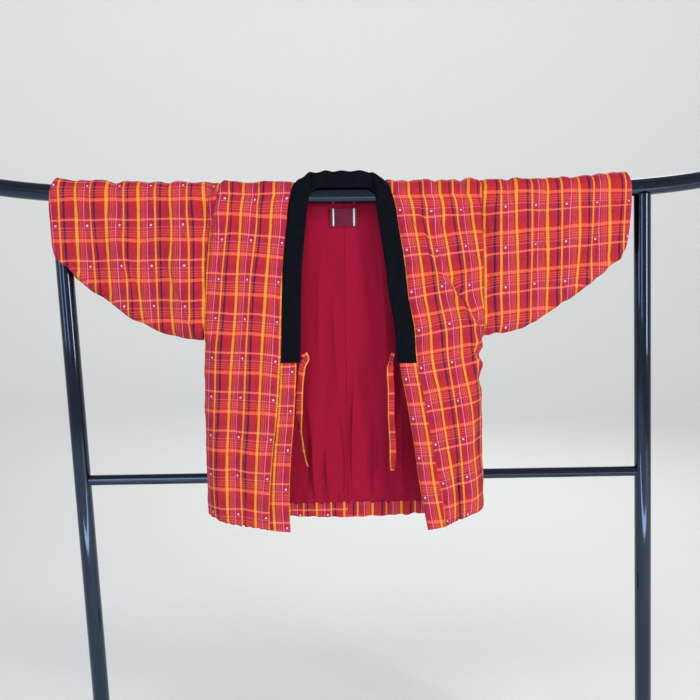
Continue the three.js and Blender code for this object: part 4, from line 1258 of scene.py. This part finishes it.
def strip(side, seed):
    across = steps(STRIP_COLUMNS)[None]
    hem = mix(HEM["front"], HEM["front_edge"], across)
    drop = mix(side["velvet_end"] + STRIP_GAP, hem, (1 - (1 - steps(STRIP_ROWS)) ** 1.2)[:, None])
    seam = read(side["edges"], "drop", "seam", drop) - TOUCH
    width = read(side["strip"], "drop", "width", drop)
    reach = seam - across * width
    x = CENTRE_X + side["sign"] * reach
    forward = (EDGE_TILT + STRIP_LIFT * across) * opening(drop)
    edge_wave = (1.6 * waves(seed, 0 * drop, drop, 120) + waves(seed + 2, 0 * drop, drop, 34)) * across
    y = front_y(drop) - forward - edge_wave - 1.5 * np.sin(math.pi * across)
    grid = np.stack([x, y, RAIL_MID_Z + rail_rise(x) - drop], axis=-1)
    normal = front_normals(grid)
    grid = grid + normal * waves(seed + 1, x, drop, 40)[..., None]
    from_seam, from_edge = end_distances(grid, 1)
    from_top, from_hem = end_distances(grid, 0)
    half = STRIP_HALF * round_off(from_edge, 6) * round_off(from_hem, 6)
    half = half * sewn(from_seam, 8, 0.45) * sewn(from_top, 7, 0.4)
    cloth = STRIP_CLOTH[side["name"]]
    uv_across = cloth["edge"] - cloth["gather"] * (1 - across) * width
    uv_along = cloth["way"] * drop * cloth["stretch"] + cloth["shift"]
    uv = np.stack(np.broadcast_arrays(uv_across, uv_along), axis=-1) + 0.6 * cloth_wobble(x, drop)
    name = f"collar_strip_{side['name']}_cloth"
    mesh = shell(name, grid, normal, half, uv, [PLAID, LINING])
    return piece(name, mesh, f"collar_strip_{side['name']}")


for side, seed in ((LEFT, 81), (RIGHT, 91)):
    made = strip(side, seed)
print("strips are", STRIP_COLUMNS, "by", STRIP_ROWS, "quads")

# %% [markdown]
# Inside the back, a thin crimson lining is laid on the padded wall, loose enough to fall in
# soft wrinkles near the hem. The plaid hem is turned up over its lower edge.

# %% Lining and turned-up hem
SKIN_COLUMNS = 110
LINING_ROWS = 150
FACING_ROWS = 14
LINING_OUT = 12.5
FACING_OUT = 13.0
LINING_CREASE_DEPTH = 2.8
SKIN_HALF = 0.75
LEAN = -0.8
DEEPEST_WRINKLE = -2.5
FACING_CLOTH = {
    "left": {"start": 139.6, "gather": 1.15, "level": 713.4, "way": 1},
    "right": {"start": 76.7, "gather": -1.1, "level": 785.0, "way": -1},
}


def back_skin(side, drop, out, fine):
    """A thin sheet on the inside of the back: out of its middle by out, with fine on top."""
    across = steps(SKIN_COLUMNS)[None]
    grid = layer_point(side, "back", TOUCH / 2, across, np.zeros_like(across), drop)
    normal = front_normals(grid)
    raised = out + np.maximum(fine(grid[..., 0], drop), DEEPEST_WRINKLE)
    return grid + normal * raised[..., None], normal


def lining_relief(x, drop):
    low = rise(drop, 360, 300)
    gathers = 1.5 * waves(103, x, 0, 22) * rise(drop, 640, 60)
    uneven = (0.5 + 0.9 * low) * waves(101, x, drop, 46, 5)
    wrinkles = LINING_CREASE_DEPTH * relief(LINING_CREASES, x, drop, 1.15) + uneven + gathers
    return wrinkles * mix(1, 0.3, rise(drop, 686, 14))


def facing_relief(x, drop):
    hang = rise(drop, FACING_TOP, 20)
    return 1.9 * waves(102, x, 0, 30) * (1 - 0.5 * hang) + 0.8


def lining(side):
    drop = steps(LINING_ROWS, LINING_TOP, FACING_TOP + 4)[:, None] + np.zeros((1, SKIN_COLUMNS + 1))
    out = LINING_OUT - 3.1 * (1 - rise(drop, 20, 60))
    grid, normal = back_skin(side, drop, out, lining_relief)
    uv = np.stack([grid[..., 0], drop], axis=-1)
    inside = smooth(np.sin(math.pi * steps(SKIN_COLUMNS)) * 6)[None]
    grid[..., 0] += LEAN * lining_relief(grid[..., 0], drop) * inside
    name = f"lining_{side['name']}_cloth"
    mesh = shell(name, grid, normal, SKIN_HALF, uv, [LINING])
    made = piece(name, mesh, f"lining_{side['name']}")
    return made


def facing(side):
    across = steps(SKIN_COLUMNS)[None]
    hem = hem_drops(side, "back", across, 0 * across) + 1.5
    drop = mix(FACING_TOP, hem, steps(FACING_ROWS)[:, None])
    grid, normal = back_skin(side, drop, FACING_OUT, facing_relief)
    cloth = FACING_CLOTH[side["name"]]
    uv_across = cloth["gather"] * grid[..., 0] + cloth["start"]
    uv = np.stack([uv_across, cloth["way"] * (drop - cloth["level"])], axis=-1)
    name = f"hem_facing_{side['name']}_cloth"
    mesh = shell(name, grid, normal, SKIN_HALF, uv, [PLAID])
    made = piece(name, mesh, f"hem_facing_{side['name']}")
    return made


for side in SIDES:
    lining(side)
    facing(side)
print("lining wrinkles:", len(LINING_CREASES["x1"]))

# %% [markdown]
# The neck label is a small woven band sewn under the collar. Its lettering is left off.

# %% Neck label
LABEL_OUT = 16.0
LABEL_COLUMNS = 24
LABEL_ROWS = 14


def neck_label():
    across = steps(LABEL_COLUMNS, -LABEL["width"] / 2, LABEL["width"] / 2)[None]
    drop = steps(LABEL_ROWS, LABEL["top"], LABEL["bottom"])[:, None]
    x = CENTRE_X + across
    bulge = 0.5 * waves(111, x, drop, 40)
    y = back_y(drop) - LABEL_OUT - bulge
    grid = np.stack(np.broadcast_arrays(x, y, RAIL_MID_Z + rail_rise(x) - drop), axis=-1)
    uv = np.stack(np.broadcast_arrays(across, drop), axis=-1)
    forward = np.array([0, -0.5, 0])
    return wall_mesh("neck_label_cloth", grid + forward, grid - forward, uv, [LABEL_CLOTH])


piece("neck_label_cloth", neck_label(), "neck_label")
print("label", LABEL["width"], "by", LABEL["bottom"] - LABEL["top"], "mm")

# %% [markdown]
# The ties are flat cords, sewn from a folded strip of the plaid, so a yellow stripe runs down one
# edge. Each is one flattened tube along the route of its solid, limp, hanging from the collar.

# %% Ties
TIE = {"width": 15.0, "thickness": 3.4, "y": -69.0}
TIE_SIDES = 16
TIE_ROWS = 120
TIE_STRIPE = 35.0
TIE_FINE_STEPS = 400
# How each tie turns on edge: from start to full in mm along it, and by how many degrees.
TIE_TURNS = {"left": (118.0, 185.0, 78.0), "right": (42.0, 18.0, 74.0)}


def tie_route(side):
    """Points of the tie's centreline, evenly spaced, on one smooth curve through its solid's."""
    rows = side["tie"]
    share = steps(len(rows["drop"]) - 1)
    fine = steps(TIE_FINE_STEPS)
    keyed = {"share": share, "reach": rows["reach"], "drop": rows["drop"]}
    x = CENTRE_X + side["sign"] * read(keyed, "share", "reach", fine)
    z = RAIL_MID_Z - read(keyed, "share", "drop", fine)
    points = np.stack([x, np.full_like(x, TIE["y"]), z], axis=1)
    run = np.concatenate([[0], np.cumsum(np.linalg.norm(np.diff(points, axis=0), axis=1))])
    even = steps(TIE_ROWS, 0, run[-1])
    return np.stack([np.interp(even, run, points[:, k]) for k in range(3)], axis=1), run[-1]


def tie(side):
    route, length = tie_route(side)
    along = np.gradient(route, axis=0)
    along = along / np.linalg.norm(along, axis=1, keepdims=True)
    wide = np.array([1.0, 0, 0]) - along * along[:, :1]
    wide = wide / np.linalg.norm(wide, axis=1, keepdims=True)
    thick = np.cross(along, wide)
    turn = 2 * math.pi * np.arange(TIE_SIDES) / TIE_SIDES
    run = steps(TIE_ROWS, 0, length)
    taper = (0.55 + 0.45 * round_off(np.minimum(run, length - run), 3))[:, None]
    tip = (0.35 + 0.65 * round_off(length - run, 34))[:, None]
    start, full, degrees = TIE_TURNS[side["name"]]
    edge_on = math.radians(degrees) * rise(run, start, full - start)
    twist = 0.22 * waves(121 + side["sign"], 0, run, 110) + edge_on
    out_x = TIE["width"] / 2 * np.sign(np.cos(turn)) * np.abs(np.cos(turn)) ** 0.7
    out_y = TIE["thickness"] / 2 * np.sign(np.sin(turn)) * np.abs(np.sin(turn)) ** 0.8
    ripple = 0.3 * waves(125, 0, run, 18)[:, None]
    px = out_x[None] * tip * np.cos(twist)[:, None] - (out_y[None] + ripple) * np.sin(twist)[:, None]
    py = out_x[None] * tip * np.sin(twist)[:, None] + (out_y[None] * taper + ripple) * np.cos(twist)[:, None]
    grid = route[:, None] + wide[:, None] * px[..., None] + thick[:, None] * py[..., None]
    edge = -side["sign"]
    uv_across = TIE_STRIPE - (TIE["width"] / 2 - edge * out_x)[None] + 0 * run[:, None]
    uv = np.stack(np.broadcast_arrays(uv_across, run[:, None]), axis=-1)
    mesh = tube_mesh(f"tie_{side['name']}_cord", grid, uv, PLAID)
    made = piece(f"tie_{side['name']}_cord", mesh, f"tie_{side['name']}")
    print(made.name, "is", round(length), "mm long")


def tube_mesh(name, grid, uv, material):
    """A closed tube from rings of points, with flat ends."""
    rows, sides = grid.shape[:2]
    index = np.arange(rows * sides).reshape(rows, sides)
    beside = np.roll(index, -1, axis=1)
    faces = np.stack([index[:-1], beside[:-1], beside[1:], index[1:]], axis=-1).reshape(-1, 4).tolist()
    faces += [index[0, ::-1].tolist(), index[-1].tolist()]
    mesh = bpy.data.meshes.new(name)
    mesh.from_pydata((grid.reshape(-1, 3) * MM).tolist(), [], faces)
    mesh.materials.append(material)
    layer = mesh.uv_layers.new(name="cloth")
    flat_uv = uv.reshape(-1, 2) * MM
    corners = np.array([v for face in faces for v in face])
    layer.data.foreach_set("uv", flat_uv[corners].ravel())
    mesh.polygons.foreach_set("use_smooth", [len(face) == 4 for face in faces])
    mesh.validate()
    return mesh


for side in SIDES:
    tie(side)

# %% [markdown]
# The tubes of the rack follow a path with one round section, which is what Geometry Nodes do well.
# One tree turns a line of points into a tube with a named radius and number of sides.

# %% Tubes of the rack
TUBE_SIDES = 64
POST_RADIUS = 19.0
CROSSBAR_RADIUS = 12.0
RAIL_HALF = 860.0
RACK_LEAN = math.radians(1.84)
CROSSBAR_DROP = 659.0
FOOT_HEIGHT = 34.0


def open_tree(name, inputs):
    """A tree with its named inputs, and the line of points that it is given as a curve."""
    tree = bpy.data.node_groups.new(name, "GeometryNodeTree")
    sockets = {"Geometry": "Geometry", **inputs, "Material": "Material"}
    for socket, kind in sockets.items():
        tree.interface.new_socket(socket, in_out="INPUT", socket_type="NodeSocket" + kind)
    tree.interface.new_socket("Geometry", in_out="OUTPUT", socket_type="NodeSocketGeometry")
    given = add_node(tree, "NodeGroupInput")
    line = add_node(tree, "GeometryNodeMeshToCurve", {"Mesh": given.outputs["Geometry"]})
    return tree, given.outputs, line.outputs[0]


def close_tree(tree, given, shape):
    """Makes a tree's instances real, gives them its material and puts them out."""
    real = add_node(tree, "GeometryNodeRealizeInstances", {"Geometry": shape})
    paint = {"Geometry": real.outputs[0], "Material": given["Material"]}
    add_node(tree, "NodeGroupOutput", {0: add_node(tree, "GeometryNodeSetMaterial", paint).outputs[0]})
    return tree


def tube_tree():
    """Points joined by edges become a round tube with closed ends."""
    tree, given, line = open_tree("tube_along_a_line", {"Radius": "Float", "Sides": "Int"})
    ring = add_node(tree, "GeometryNodeCurvePrimitiveCircle", {
        "Resolution": given["Sides"], "Radius": given["Radius"],
    })
    tube = add_node(tree, "GeometryNodeCurveToMesh", {
        "Curve": line, "Profile Curve": ring.outputs[0], "Fill Caps": True,
    })
    return close_tree(tree, given, tube.outputs[0])


def line_mesh(name, points):
    """Points in mm joined one after the other."""
    mesh = bpy.data.meshes.new(name)
    mesh.from_pydata([tuple(p * MM) for p in points], [(i, i + 1) for i in range(len(points) - 1)], [])
    return mesh


def finished_mesh(name, carrier):
    """The mesh of an object after its modifiers, smooth; the object itself is removed."""
    bpy.context.view_layer.update()
    evaluated = carrier.evaluated_get(bpy.context.evaluated_depsgraph_get())
    mesh = bpy.data.meshes.new_from_object(evaluated)
    mesh.name = name
    bpy.data.objects.remove(carrier)
    mesh.polygons.foreach_set("use_smooth", np.ones(len(mesh.polygons), dtype=bool))
    return mesh


def grown(name, line, tree, values):
    """Runs a tree on a line and returns the result as a plain mesh."""
    carrier = bpy.data.objects.new(name + "_line", line)
    scene.collection.objects.link(carrier)
    modifier = carrier.modifiers.new("grow", "NODES")
    modifier.node_group = tree
    for item in tree.interface.items_tree:
        if item.in_out == "INPUT" and item.name in values:
            modifier[item.identifier] = values[item.name]
    return finished_mesh(name, carrier)


TUBES = tube_tree()


def rack_tube(node, points, radius):
    mesh = grown(node + "_tube", line_mesh(node, points), TUBES, {
        "Radius": radius * MM, "Sides": TUBE_SIDES, "Material": LACQUER,
    })
    mesh.set_sharp_from_angle(angle=math.radians(40))
    return piece(node + "_tube", mesh, node)


def rail_points(start, end, count):
    x = steps(count, start, end)
    return np.stack([x, 0 * x, RAIL_MID_Z + rail_rise(x)], axis=1)


def post_x(sign, drop):
    return sign * POST_X + math.tan(RACK_LEAN) * drop


rack_tube("rail", rail_points(-POST_X, POST_X, 60), RAIL_RADIUS)
rack_tube("rail_end_left", rail_points(-POST_X - SEAM_GAP, -RAIL_HALF, 20), RAIL_RADIUS)
rack_tube("rail_end_right", rail_points(POST_X + SEAM_GAP, RAIL_HALF, 20), RAIL_RADIUS)
for sign, name in ((-1, "left"), (1, "right")):
    foot_top = RAIL_Z - FOOT_HEIGHT
    ends = np.array([
        [post_x(sign, foot_top - SEAM_GAP), 0, FOOT_HEIGHT + SEAM_GAP],
        [post_x(sign, RAIL_RADIUS - 4), 0, RAIL_Z - RAIL_RADIUS + 4],
    ])
    rack_tube(f"post_{name}", ends, POST_RADIUS)
bar_z = RAIL_Z - CROSSBAR_DROP
bar_ends = np.array([
    [post_x(-1, CROSSBAR_DROP) + POST_RADIUS - 3, 0, bar_z],
    [post_x(1, CROSSBAR_DROP) - POST_RADIUS + 3, 0, bar_z],
])
rack_tube("crossbar", bar_ends, CROSSBAR_RADIUS)
print("rack tubes of", TUBE_SIDES, "sides")

# %% [markdown]
# The feet and the sockets keep their solids' shape. They get the same lacquer, on a merged copy with
# a small bevel, because a painted steel foot has no knife-sharp edge.

# %% Feet and sockets
def softened(node, bevel_mm):
    """A CAD node's own shape, merged, with its sharp edges bevelled."""
    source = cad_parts[node]
    mesh = source.data.copy()
    mesh.transform(source.matrix_world)
    mesh.materials.clear()
    mesh.materials.append(LACQUER)
    carrier = bpy.data.objects.new(node + "_carrier", mesh)
    scene.collection.objects.link(carrier)
    weld = carrier.modifiers.new("weld", "WELD")
    weld.merge_threshold = 1e-5
    bevel = carrier.modifiers.new("bevel", "BEVEL")
    bevel.width = bevel_mm * MM
    bevel.segments = 3
    bevel.limit_method = "ANGLE"
    bevel.angle_limit = math.radians(40)
    finished = finished_mesh(node + "_finished", carrier)
    finished.set_sharp_from_angle(angle=math.radians(35))
    return piece(node + "_finished", finished, node)


for name in ("left", "right"):
    softened(f"foot_{name}", 2.0)
    softened(f"post_socket_{name}", 1.0)
print("feet and sockets finished")

# %% [markdown]
# Small stitches in crimson thread hold the turned-up hem and the label. One tree walks along a line
# and sets a short, thick stitch at even spacing.

# %% Stitches
def stitch_tree():
    """Short round-ended stitches along a line."""
    sizes = {name: "Float" for name in ("Spacing", "Length", "Thickness")}
    tree, given, line = open_tree("stitches_along_a_line", sizes)
    spots = add_node(tree, "GeometryNodeCurveToPoints", {
        "Curve": line, "Length": given["Spacing"],
    }, mode="LENGTH")
    bead = add_node(tree, "GeometryNodeMeshUVSphere", {"Segments": 8, "Rings": 6, "Radius": 1.0})
    size = add_node(tree, "ShaderNodeCombineXYZ", {
        0: given["Thickness"], 1: given["Thickness"], 2: given["Length"],
    })
    shaped = add_node(tree, "GeometryNodeInstanceOnPoints", {
        "Points": spots.outputs["Points"], "Instance": bead.outputs[0],
        "Rotation": spots.outputs["Rotation"], "Scale": size.outputs[0],
    })
    return close_tree(tree, given, shaped.outputs[0])


STITCHES = stitch_tree()


def stitch_row(name, points, spacing, length, thickness):
    """One row of stitches as its own piece."""
    mesh = grown(name, line_mesh(name, points), STITCHES, {
        "Spacing": spacing * MM, "Length": length / 2 * MM, "Thickness": thickness / 2 * MM,
        "Material": THREAD,
    })
    made = bpy.data.objects.new(name, mesh)
    scene.collection.objects.link(made)
    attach(made, "root")
    print(name, len(mesh.polygons), "faces")
    return made


def facing_seam(side):
    """The line just below the facing's top edge, on its surface."""
    drop = np.full((2, SKIN_COLUMNS + 1), FACING_TOP + 3.0) + np.array([[0], [2.0]])
    grid, normal = back_skin(side, drop, FACING_OUT, facing_relief)
    return grid[0] + normal[0] * SKIN_HALF


for side in SIDES:
    name = side["name"]
    stitch_row(f"hem_stitches_{name}", facing_seam(side), 9.0, 2.6, 0.8)
label_x = CENTRE_X + np.array([-1, 1, 1, -1, -1]) * (LABEL["width"] / 2 - 1.5)
label_drop = np.array([LABEL["top"] + 1.5] * 2 + [LABEL["bottom"] - 1.5] * 2 + [LABEL["top"] + 1.5])
label_line = np.stack([
    label_x, back_y(label_drop) - LABEL_OUT - 0.9, RAIL_MID_Z + rail_rise(label_x) - label_drop,
], axis=1)
stitch_row("label_stitches", label_line, 3.4, 2.4, 0.7)

# %% [markdown]
# The studio is a plain pale floor that curves up far away into a pale wall all round, so every view
# has the same calm background. The strongest light is tall and stands at the right in front. Two
# weaker bluish ones, in the middle and at the left, draw light streaks on the posts. A low strip and
# one light above fill in the front, and behind the rack one washes the wall and one lights the back.

# %% Studio
STUDIO_RADIUS = 9.0
STUDIO_CURVE = 3.0
STUDIO_HEIGHT = 7.0
STUDIO_SIDES = 96


def studio_mesh():
    bend = steps(16) * math.pi / 2
    rounding = STUDIO_RADIUS - STUDIO_CURVE + STUDIO_CURVE * np.sin(bend)
    radius = np.concatenate([[0.01, 1.5, 3.0], rounding, [STUDIO_RADIUS]])
    height = np.concatenate([[0, 0, 0], STUDIO_CURVE * (1 - np.cos(bend)), [STUDIO_HEIGHT]])
    turn = 2 * math.pi * np.arange(STUDIO_SIDES) / STUDIO_SIDES
    x = radius[:, None] * np.cos(turn)
    y = radius[:, None] * np.sin(turn)
    z = height[:, None] + 0 * turn
    points = np.stack([x, y, z], axis=-1)
    index = np.arange(points.shape[0] * STUDIO_SIDES).reshape(-1, STUDIO_SIDES)
    beside = np.roll(index, -1, axis=1)
    faces = np.stack([index[:-1], index[1:], beside[1:], beside[:-1]], axis=-1).reshape(-1, 4)
    faces = faces.tolist() + [index[0].tolist()]
    mesh = bpy.data.meshes.new("studio_floor")
    mesh.from_pydata(points.reshape(-1, 3).tolist(), [], faces)
    mesh.polygons.foreach_set("use_smooth", [True] * len(faces))
    material, tree = new_material("pale_matt_paper")
    place = add_node(tree, "ShaderNodeTexCoord").outputs["Object"]
    grain = add_node(tree, "ShaderNodeTexNoise", {"Vector": place, "Scale": 40.0, "Detail": 2.0})
    colour = blend(tree, grain.outputs[0], linear("#f0f1ef"), linear("#f4f5f4"))
    finish_material(tree, {"Base Color": colour, "Roughness": 0.95, "Specular IOR Level": 0.1})
    mesh.materials.append(material)
    return mesh


def area_light(name, place, target, size, power, code="#ffffff"):
    data = bpy.data.lights.new(name, "AREA")
    data.shape = "RECTANGLE"
    data.size, data.size_y = size
    data.energy = power
    data.color = linear(code)[:3]
    made = bpy.data.objects.new(name, data)
    made.location = place
    made.rotation_euler = (Vector(target) - Vector(place)).to_track_quat("-Z", "Y").to_euler()
    made.visible_camera = False
    scene.collection.objects.link(made)
    return made


studio = bpy.data.objects.new("studio_floor", studio_mesh())
scene.collection.objects.link(studio)
world = bpy.data.worlds.new("soft_sky")
world.use_nodes = True
world.node_tree.nodes["Background"].inputs[0].default_value = linear("#f4f7fa")
world.node_tree.nodes["Background"].inputs[1].default_value = 0.34
scene.world = world
GARMENT = (0.0, 0.0, 1.2)
# Each light has its place, what it faces, its width and height in metres, and its power in watts.
area_light("key_right", (3.4, -2.9, 2.0), GARMENT, (0.8, 2.8), 99.0, "#fffdf8")
area_light("tall_middle", (-1.3, -4.2, 2.0), GARMENT, (1.1, 2.8), 42.0, "#d0e2ff")
area_light("tall_left", (-3.7, -2.2, 2.0), GARMENT, (1.2, 2.8), 38.0, "#d0e2ff")
area_light("low_front", (0.2, -1.7, 0.15), (0.2, 0.0, 1.4), (3.0, 0.09), 7.0, "#eaf2ff")
top_front = area_light("top_front", (0.3, -1.6, 3.8), GARMENT, (1.2, 0.8), 34.0, "#fffaf2")
top_front.visible_glossy = False
area_light("wall_wash", (0.0, 4.0, 5.6), (0.0, 9.0, 1.6), (7.0, 1.2), 125.0)
area_light("back_fill", (0.8, 3.4, 2.8), GARMENT, (2.4, 2.0), 38.0)
print("studio and lights set")
